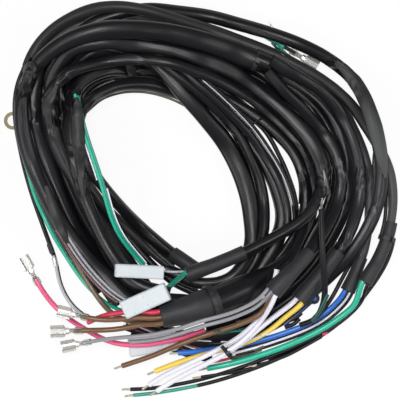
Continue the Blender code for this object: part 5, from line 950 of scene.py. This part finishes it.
def wrapped(name, verts, line, closed, finish):
    """A skin over rings of points: capped at both ends, or closed from the last ring to the first."""
    rings, sides = verts.shape[:2]
    ring, spoke = np.meshgrid(np.arange(rings if closed else rings - 1), np.arange(sides), indexing="ij")
    ring, spoke = ring.ravel(), spoke.ravel()
    other, after = (ring + 1) % rings, (spoke + 1) % sides
    faces = np.stack([ring * sides + spoke, ring * sides + after, other * sides + after,
                      other * sides + spoke], axis=1).tolist()
    lengths = lengths_of(line) / TEXTURE_UNIT
    around = np.stack([spoke, spoke + 1, spoke + 1, spoke], axis=1) / sides
    down = np.stack([lengths[ring], lengths[ring], lengths[other], lengths[other]], axis=1)
    coordinates = np.stack([around.ravel(), down.ravel()], axis=1)
    if not closed:
        faces.append(list(range(sides - 1, -1, -1)))
        faces.append(list(range((rings - 1) * sides, rings * sides)))
        coordinates = np.vstack([coordinates, np.zeros((2 * sides, 2))])
    mesh = bpy.data.meshes.new(name)
    mesh.from_pydata(verts.reshape(-1, 3).tolist(), [], faces)
    layer = mesh.uv_layers.new(name="cable")
    layer.data.foreach_set("uv", coordinates.ravel())
    mesh.shade_smooth()
    mesh.set_sharp_from_angle(angle=SHARP_EDGE)
    return piece(name, mesh, finish)


def swept(name, line, sections, finish):
    """A skin through the cross sections (side, up) at each point of a line."""
    _, side, up = directions(line)
    return wrapped(name, placed(line, side, up, sections), line, False, finish)


def width_along(line, widths):
    lengths = lengths_of(line)
    shares, values = zip(*widths)
    return np.interp(lengths / lengths[-1], shares, values) * MM


def waves(rng, lengths, scale, size):
    """A smooth random wander along a cable."""
    total = np.zeros(len(lengths))
    for order in range(1, WAVE_ORDERS + 1):
        total += np.sin(2 * math.pi * lengths * order / scale + rng.uniform(0, 2 * math.pi)) / order
    return total * size / WAVE_HEIGHT


def ring_angles(sides):
    return 2 * np.pi * np.arange(sides) / sides


def ridged_sections(line, widths, tall, ridges, turns, depth, seed):
    """Cross sections of soft tubing over a few wires: a low ridge over each, hollows between them."""
    rng = np.random.default_rng(seed)
    lengths = lengths_of(line)
    theta = ring_angles(SKIN_SIDES)
    form = np.zeros((len(line), SKIN_SIDES))
    for index in range(ridges):
        centre = 2 * np.pi * ((index + rng.uniform(-RIDGE_SHIFT, RIDGE_SHIFT)) / ridges + turns * lengths)
        centre = centre + waves(rng, lengths, *RIDGE_WANDER)
        strength = np.clip(RIDGE_STRENGTH + waves(rng, lengths, *RIDGE_FADING), 0.0, 1.0)
        turned = (theta[None, :] - centre[:, None] + np.pi) % (2 * np.pi) - np.pi
        form = np.maximum(form, strength[:, None] * np.exp(-(turned / RIDGE_WIDTH) ** 2))
    radial = 1 - depth + depth * form
    for x, y, reach, dent in CRUMPLES:
        index, apart = nearest(line, (x, y))
        if apart < CRUMPLE_NEAR:
            near = np.exp(-((lengths - lengths[index]) / (reach * MM)) ** 2)
            bends = rng.uniform(-TUCK_BEND, TUCK_BEND, len(TUCK_TURNS))
            shifts = rng.uniform(0, TUCK_SHIFT, len(TUCK_TURNS))
            tucks = sum(np.cos(turn * theta[None, :] + bend * lengths[:, None] + shift)
                        for turn, bend, shift in zip(TUCK_TURNS, bends, shifts))
            radial = radial * (1 - dent * near[:, None] * np.clip(np.abs(tucks) * TUCK_DEPTH, 0, 1))
    x = radial * np.cos(theta)
    y = radial * np.sin(theta)
    x -= (x.max(axis=1, keepdims=True) + x.min(axis=1, keepdims=True)) / 2
    y -= (y.max(axis=1, keepdims=True) + y.min(axis=1, keepdims=True)) / 2
    radius = width_along(line, widths) / 2 * (1 + waves(rng, lengths, *SWELLING))
    x *= (radius / x.max(axis=1))[:, None]
    y *= (radius * tall / y.max(axis=1))[:, None]
    return np.stack([x, y], axis=2)


def round_sections(radii):
    theta = ring_angles(ROUND_SIDES)
    return np.stack([np.outer(radii, np.cos(theta)), np.outer(radii, np.sin(theta))], axis=2)


def cable_radius(name, line):
    if name in SLEEVES:
        return width_along(line, SLEEVES[name][0]) / 2
    return np.full(len(line), WIRES[name][0] * MM / 2)


def room_beside(name, line, reach):
    """How far a sleeve's two sides can give until they meet what lies beside it."""
    tangent, side, _ = directions(line)
    own = cable_radius(name, line)
    limit = reach * ROOM_LIMIT
    closest = np.full((len(line), 2), limit)
    for other, course in LINES.items():
        if other == name:
            continue
        width = cable_radius(other, course)
        for index in range(len(line)):
            apart = course - line[index]
            near = np.abs(apart @ tangent[index]) < BESIDE
            near &= np.abs(apart[:, 2]) < own[index] + width
            if not near.any():
                continue
            sideways = apart[near] @ side[index]
            gap = np.abs(sideways) - own[index] - width[near]
            for edge, picked in enumerate((sideways > 0, sideways < 0)):
                picked &= gap > -own[index] * DEEPEST_OVERLAP
                if picked.any():
                    closest[index, edge] = min(closest[index, edge], gap[picked].min())
    edges = np.array([1, -1])[None, :, None] * own[:, None, None]
    spots = line[:, None, :2] + side[:, None, :2] * edges
    for gap_line in OPEN_GAPS:
        for spot in gap_line:
            far = np.linalg.norm(spots - np.array(photo_spot(*spot)), axis=2)
            closest[far < GAP_KEPT] = 0.0
    room = np.where(closest < limit, np.clip(closest / 2 + PRESSED, 0.0, reach), 0.0)
    return held(room, np.ones(ROOM_WINDOW) / ROOM_WINDOW)


def make_sleeves():
    closed = {sleeve: (side, length * MM) for sleeve, side, length, _, _ in SHRINKS.values()}
    for seed, (name, (widths, tall, ridges, turns, depth, give)) in enumerate(SLEEVES.items()):
        line = LINES[name]
        sections = ridged_sections(line, widths, tall, ridges, turns, depth, seed + SLEEVE_SEED)
        room = room_beside(name, line, give * MM)
        radius = cable_radius(name, line)
        for edge, sign in enumerate((1, -1)):
            outward = sections[:, :, 0] * sign > 0
            sections[:, :, 0] *= np.where(outward, 1 + (room[:, edge] / radius)[:, None], 1.0)
        if name in closed:
            side, length = closed[name]
            at = lengths_of(line)
            keep = at > length - SLEEVE_TUCK if side == "start" else at < at[-1] - length + SLEEVE_TUCK
            line, sections = line[keep], sections[keep]
        if name == "trunk_sleeve":
            neck = int(len(line) * TRUNK_HEAD)
            head = swept("trunk_head_skin", line[:neck + 1], sections[:neck + 1], FINISHES["sleeve"])
            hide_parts(name)
            line, sections = line[neck:], sections[neck:]
        made = swept(name + "_skin", line, sections, FINISHES["dull_lit" if name in DULL_LIT_SLEEVES else "sleeve"])
        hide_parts(name)
        breadth = sections[:, :, 0].max(axis=1) - sections[:, :, 0].min(axis=1)


def make_shrinks():
    """Shrink tubes: ridged where they grip the sleeve, round and wider at the mouth, and hollow."""
    for seed, (name, (sleeve, side, length, width, mouth)) in enumerate(SHRINKS.items()):
        line = LINES[sleeve]
        total = lengths_of(line)[-1]
        length *= MM
        start, stop = (0.0, length) if side == "start" else (total - length, total)
        stretch = cut_line(line, start, stop, LOOSE_STEP)
        if side == "start":
            stretch = stretch[::-1]
        inward = lengths_of(stretch) / length
        outer = np.interp(inward, [0, SHRINK_GRIP, 1], [width, width, mouth]) / 2 * MM
        rng = np.random.default_rng(seed + SHRINK_WAVE_SEED)
        outer *= 1 + waves(rng, lengths_of(stretch), *SHRINK_WAVES)
        shape = ridged_sections(stretch, UNIT_RADIUS, *SHRINK_SECTION, seed + SHRINK_SEED)
        ridged = np.clip(1 - inward * RIDGED_FALL, 0, 1)[:, None, None] * RIDGED_SHARE
        theta = ring_angles(SKIN_SIDES)
        circle = np.stack([np.cos(theta), np.sin(theta)], axis=1)[None]
        shape = shape * ridged + circle * (1 - ridged)
        skin = shape * outer[:, None, None]
        bore = shape[::-1] * (outer[::-1] - SHRINK_WALL)[:, None, None]
        lip = shape[-1:] * (outer[-1] - SHRINK_LIP)
        beyond = stretch[-1:] + (stretch[-1:] - stretch[-2:-1]) * LIP_REACH
        made = folded_tube(name + "_skin", np.vstack([stretch, beyond, stretch[::-1]]),
                           np.concatenate([skin, lip, bore]), len(stretch))
        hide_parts(name)


def folded_tube(name, line, sections, turn):
    """A tube whose skin goes over its mouth and back along its bore."""
    outward = np.vstack([line[:turn], line[turn - 1:turn] + (line[turn - 1] - line[turn - 2])])
    _, side, up = directions(outward)
    side = np.concatenate([side, side[:turn][::-1]])
    up = np.concatenate([up, up[:turn][::-1]])
    return wrapped(name, placed(line, side, up, sections), line, True, FINISHES["shrink"])


def strands(name, line):
    """The bare end of a wire: a few tinned strands twisted together."""
    end = line[-1]
    forward = end - line[-3]
    forward = forward / np.linalg.norm(forward)
    side = np.cross(forward, [0.0, 0.0, 1.0])
    side /= np.linalg.norm(side)
    up = np.cross(side, forward)
    verts, faces = [], []
    thin = CONDUCTOR * MM / 6
    sides = STRAND_SIDES
    for strand in range(STRANDS):
        ring_radius = 0.0 if strand == 0 else CONDUCTOR * MM / 2 - thin
        base = len(verts)
        reach = TIP_LENGTH * MM * (1.0 - STRAND_UNEVEN * (strand % 3))
        for step in range(STRAND_STEPS):
            along = reach * step / (STRAND_STEPS - 1) - STRAND_SUNK
            angle = 2 * math.pi * (strand / (STRANDS - 1) + along / STRAND_PITCH)
            centre = end + forward * along + (side * math.cos(angle) + up * math.sin(angle)) * ring_radius
            for spoke in range(sides):
                turn = 2 * math.pi * spoke / sides
                verts.append(tuple(centre + (side * math.cos(turn) + up * math.sin(turn)) * thin))
        for step in range(STRAND_STEPS - 1):
            here, there = base + step * sides, base + (step + 1) * sides
            for spoke in range(sides):
                after = (spoke + 1) % sides
                faces.append((here + spoke, here + after, there + after, there + spoke))
        faces.append(tuple(base + (STRAND_STEPS - 1) * sides + spoke for spoke in range(sides)))
        faces.append(tuple(base + spoke for spoke in range(sides - 1, -1, -1)))
    mesh = bpy.data.meshes.new(name)
    mesh.from_pydata(verts, [], faces)
    mesh.shade_smooth()
    return piece(name, mesh, FINISHES["copper"])


def insulated(name, line, diameter, insulation):
    """A wire's insulation, its cut edge a little rounded."""
    radii = np.full(len(line), diameter * MM / 2)
    radii[-1] *= CUT_EDGE
    return swept(name, line, round_sections(radii), FINISHES[insulation])


def make_wires():
    for name, (diameter, insulation, far_end) in WIRES.items():
        line = LINES[name]
        if name in SHEATHED:
            spot, cover = SHEATHED[name]
            start, _ = nearest(line, spot)
            first, line = line[:start + 1], line[start:]
            sheath = insulated(name + "_sheath", first, diameter + SHEATH_WALLS, cover)
            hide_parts(name)
        made = insulated(name + "_insulation", line, diameter, insulation)
        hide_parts(name)
        if far_end == "tip":
            strands(name + "_strands", line)


def resting(points, radius):
    """A line through pixels of the photograph that lies on whatever is below it."""
    flat = smooth_line([(x / MM, y / MM, 0.0) for x, y in (photo_spot(*point) for point in points)],
                       LOOSE_STEP)
    height = np.full(len(flat), radius)
    for name, course in LINES.items():
        width = cable_radius(name, course) + radius
        for index in range(len(flat)):
            apart = np.linalg.norm(course[:, :2] - flat[index, :2], axis=1)
            near = apart < width * RESTING_SHARE
            if near.any():
                top = course[near, 2] + np.sqrt(width[near] ** 2 - apart[near] ** 2)
                height[index] = max(height[index], top.max())
    flat[:, 2:] = held(height[:, None], window_of(RESTING_WINDOW))
    return flat


def loose(name, line, diameter, insulation, section, seed):
    if insulation == "sleeve":
        sections = ridged_sections(line, [(0, diameter), (1, diameter)], *section, seed)
        swept(name, line, sections, FINISHES["sleeve"])
    else:
        insulated(name, line, diameter, insulation)


def make_slack():
    courses = dict(LINES)
    for seed, (name, (diameter, insulation, height, bare, points)) in enumerate(SLACK.items()):
        line = resting(points, diameter * MM / 2)
        if height is not None:
            line[:, 2] = height * MM
        courses[name] = line
        loose(name, line, diameter, insulation, SLACK_SECTION, seed + SLACK_SEED)
        if bare:
            strands(name + "_strands", line)
    for name, (wire, aside, above, begin, stop, diameter, insulation) in COMPANIONS.items():
        line = courses[wire]
        _, side, up = directions(line)
        course = line + side * aside * MM + up * above * MM
        course = course[int(len(line) * begin):int(len(line) * stop)]
        loose(name, course, diameter, insulation, COMPANION_SECTION, COMPANION_SEED)


def make_flaps():
    for seed, (name, (widths, tall, depth, finish, points)) in enumerate(FLAPS.items()):
        line = resting(points, FLAP_LIFT * MM)
        sections = ridged_sections(line, widths, tall, *FLAP_RIDGES, depth, seed + FLAP_SEED)
        swept(name, line, sections, FINISHES[finish])


def make_barrels():
    for name, (wire, begin, end, diameter, finish) in BARRELS.items():
        line = LINES[wire]
        ends = [nearest(line, spot)[0] for spot in (begin, end)]
        line = line[min(ends):max(ends) + 1]
        radii = np.full(len(line), diameter * MM / 2)
        radii[[0, -1]] *= BARREL_EDGE
        made = swept(name, line, round_sections(radii), FINISHES[finish])
        if name == "splice_barrel":
            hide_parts("splice")


def make_boot():
    """The moulded end of a wire that points up between the branches."""
    middle = np.array([*photo_spot(*BOOT_SPOT), BOOT_HEIGHT * MM])
    share = np.linspace(-BOOT_ENDS, BOOT_ENDS, BOOT_RINGS)
    for name, (radius, lift, finish, slot) in BOOT_PIECES.items():
        line = middle + np.array([0.0, 0.0, lift * MM]) + np.outer(share, [radius * MM, 0.0, 0.0])
        swept(name, line, round_sections(np.sqrt(1 - share ** 2) * radius * MM), FINISHES[finish])


def dress_fittings():
    for finish, nodes in FITTING_FINISHES.items():
        for name in nodes:
            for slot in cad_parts[name].material_slots:
                slot.material = FINISHES[finish]


def make_stage():
    """A white floor: nearly plain white to the camera, with a little of the object's shadow."""
    corners = [(-FLOOR_REACH, -FLOOR_REACH), (FLOOR_REACH, -FLOOR_REACH), (FLOOR_REACH, FLOOR_REACH),
               (-FLOOR_REACH, FLOOR_REACH)]
    mesh = bpy.data.meshes.new("floor")
    mesh.from_pydata([(x, y, FLOOR_LEVEL) for x, y in corners], [], [(0, 1, 2, 3)])
    floor = bpy.data.objects.new("floor", mesh)
    bpy.context.scene.collection.objects.link(floor)
    make = finish_named("white_floor")
    seen = make.ray("Is Camera Ray").larger(make.ray("Is Glossy Ray")).larger(make.ray("Is Transmission Ray"))
    plain = make.node("ShaderNodeBsdfDiffuse", None, {"Color": FLOOR_COLOUR})
    bright = make.node("ShaderNodeEmission", None, {"Color": WHITE, "Strength": 1.0})
    mesh.materials.append(make.surface(make.node("ShaderNodeMixShader", None,
                                                 {0: seen * FLOOR_GLOW, 1: plain, 2: bright})))


def make_light():
    world = bpy.data.worlds.new("studio")
    bpy.context.scene.world = world
    make = Finish(world, "ShaderNodeOutputWorld")
    ambient = make.node("ShaderNodeBackground", None, {"Color": WHITE, "Strength": AMBIENT})
    backdrop = make.node("ShaderNodeBackground", None, {"Color": WHITE, "Strength": 1.0})
    seen = make.ray("Is Camera Ray").larger(make.ray("Is Glossy Ray") * GLOSSY_BACKDROP)
    make.surface(make.node("ShaderNodeMixShader", None, {0: seen, 1: ambient, 2: backdrop}))
    for name, (place, size, power) in PANELS.items():
        data = bpy.data.lights.new(name, "AREA")
        data.shape = "RECTANGLE"
        data.size, data.size_y = size
        data.energy = power
        lamp = bpy.data.objects.new(name, data)
        lamp.location = place
        lamp.rotation_euler = (-Vector(place)).to_track_quat("-Z", "Y").to_euler()
        bpy.context.scene.collection.objects.link(lamp)


def make_camera():
    """Straight above the coil, from far enough that its top and its foot show at one scale."""
    data = bpy.data.cameras.new("photo_view")
    data.sensor_width = SENSOR
    data.lens = SENSOR * CAMERA_HEIGHT / (PHOTO_PIXELS * PHOTO_UNIT * MM)
    data.clip_end = CAMERA_CLIP
    camera = bpy.data.objects.new("photo_view", data)
    camera.location = (*photo_spot(PHOTO_PIXELS / 2, PHOTO_PIXELS / 2), CAMERA_HEIGHT + COIL_MIDDLE)
    bpy.context.scene.collection.objects.link(camera)
    bpy.context.scene.camera = camera


make_camera()
make_stage()
make_light()
make_sleeves()
make_shrinks()
make_wires()
make_slack()
make_flaps()
make_barrels()
make_boot()
dress_fittings()
bpy.context.scene.view_settings.view_transform = "Standard"
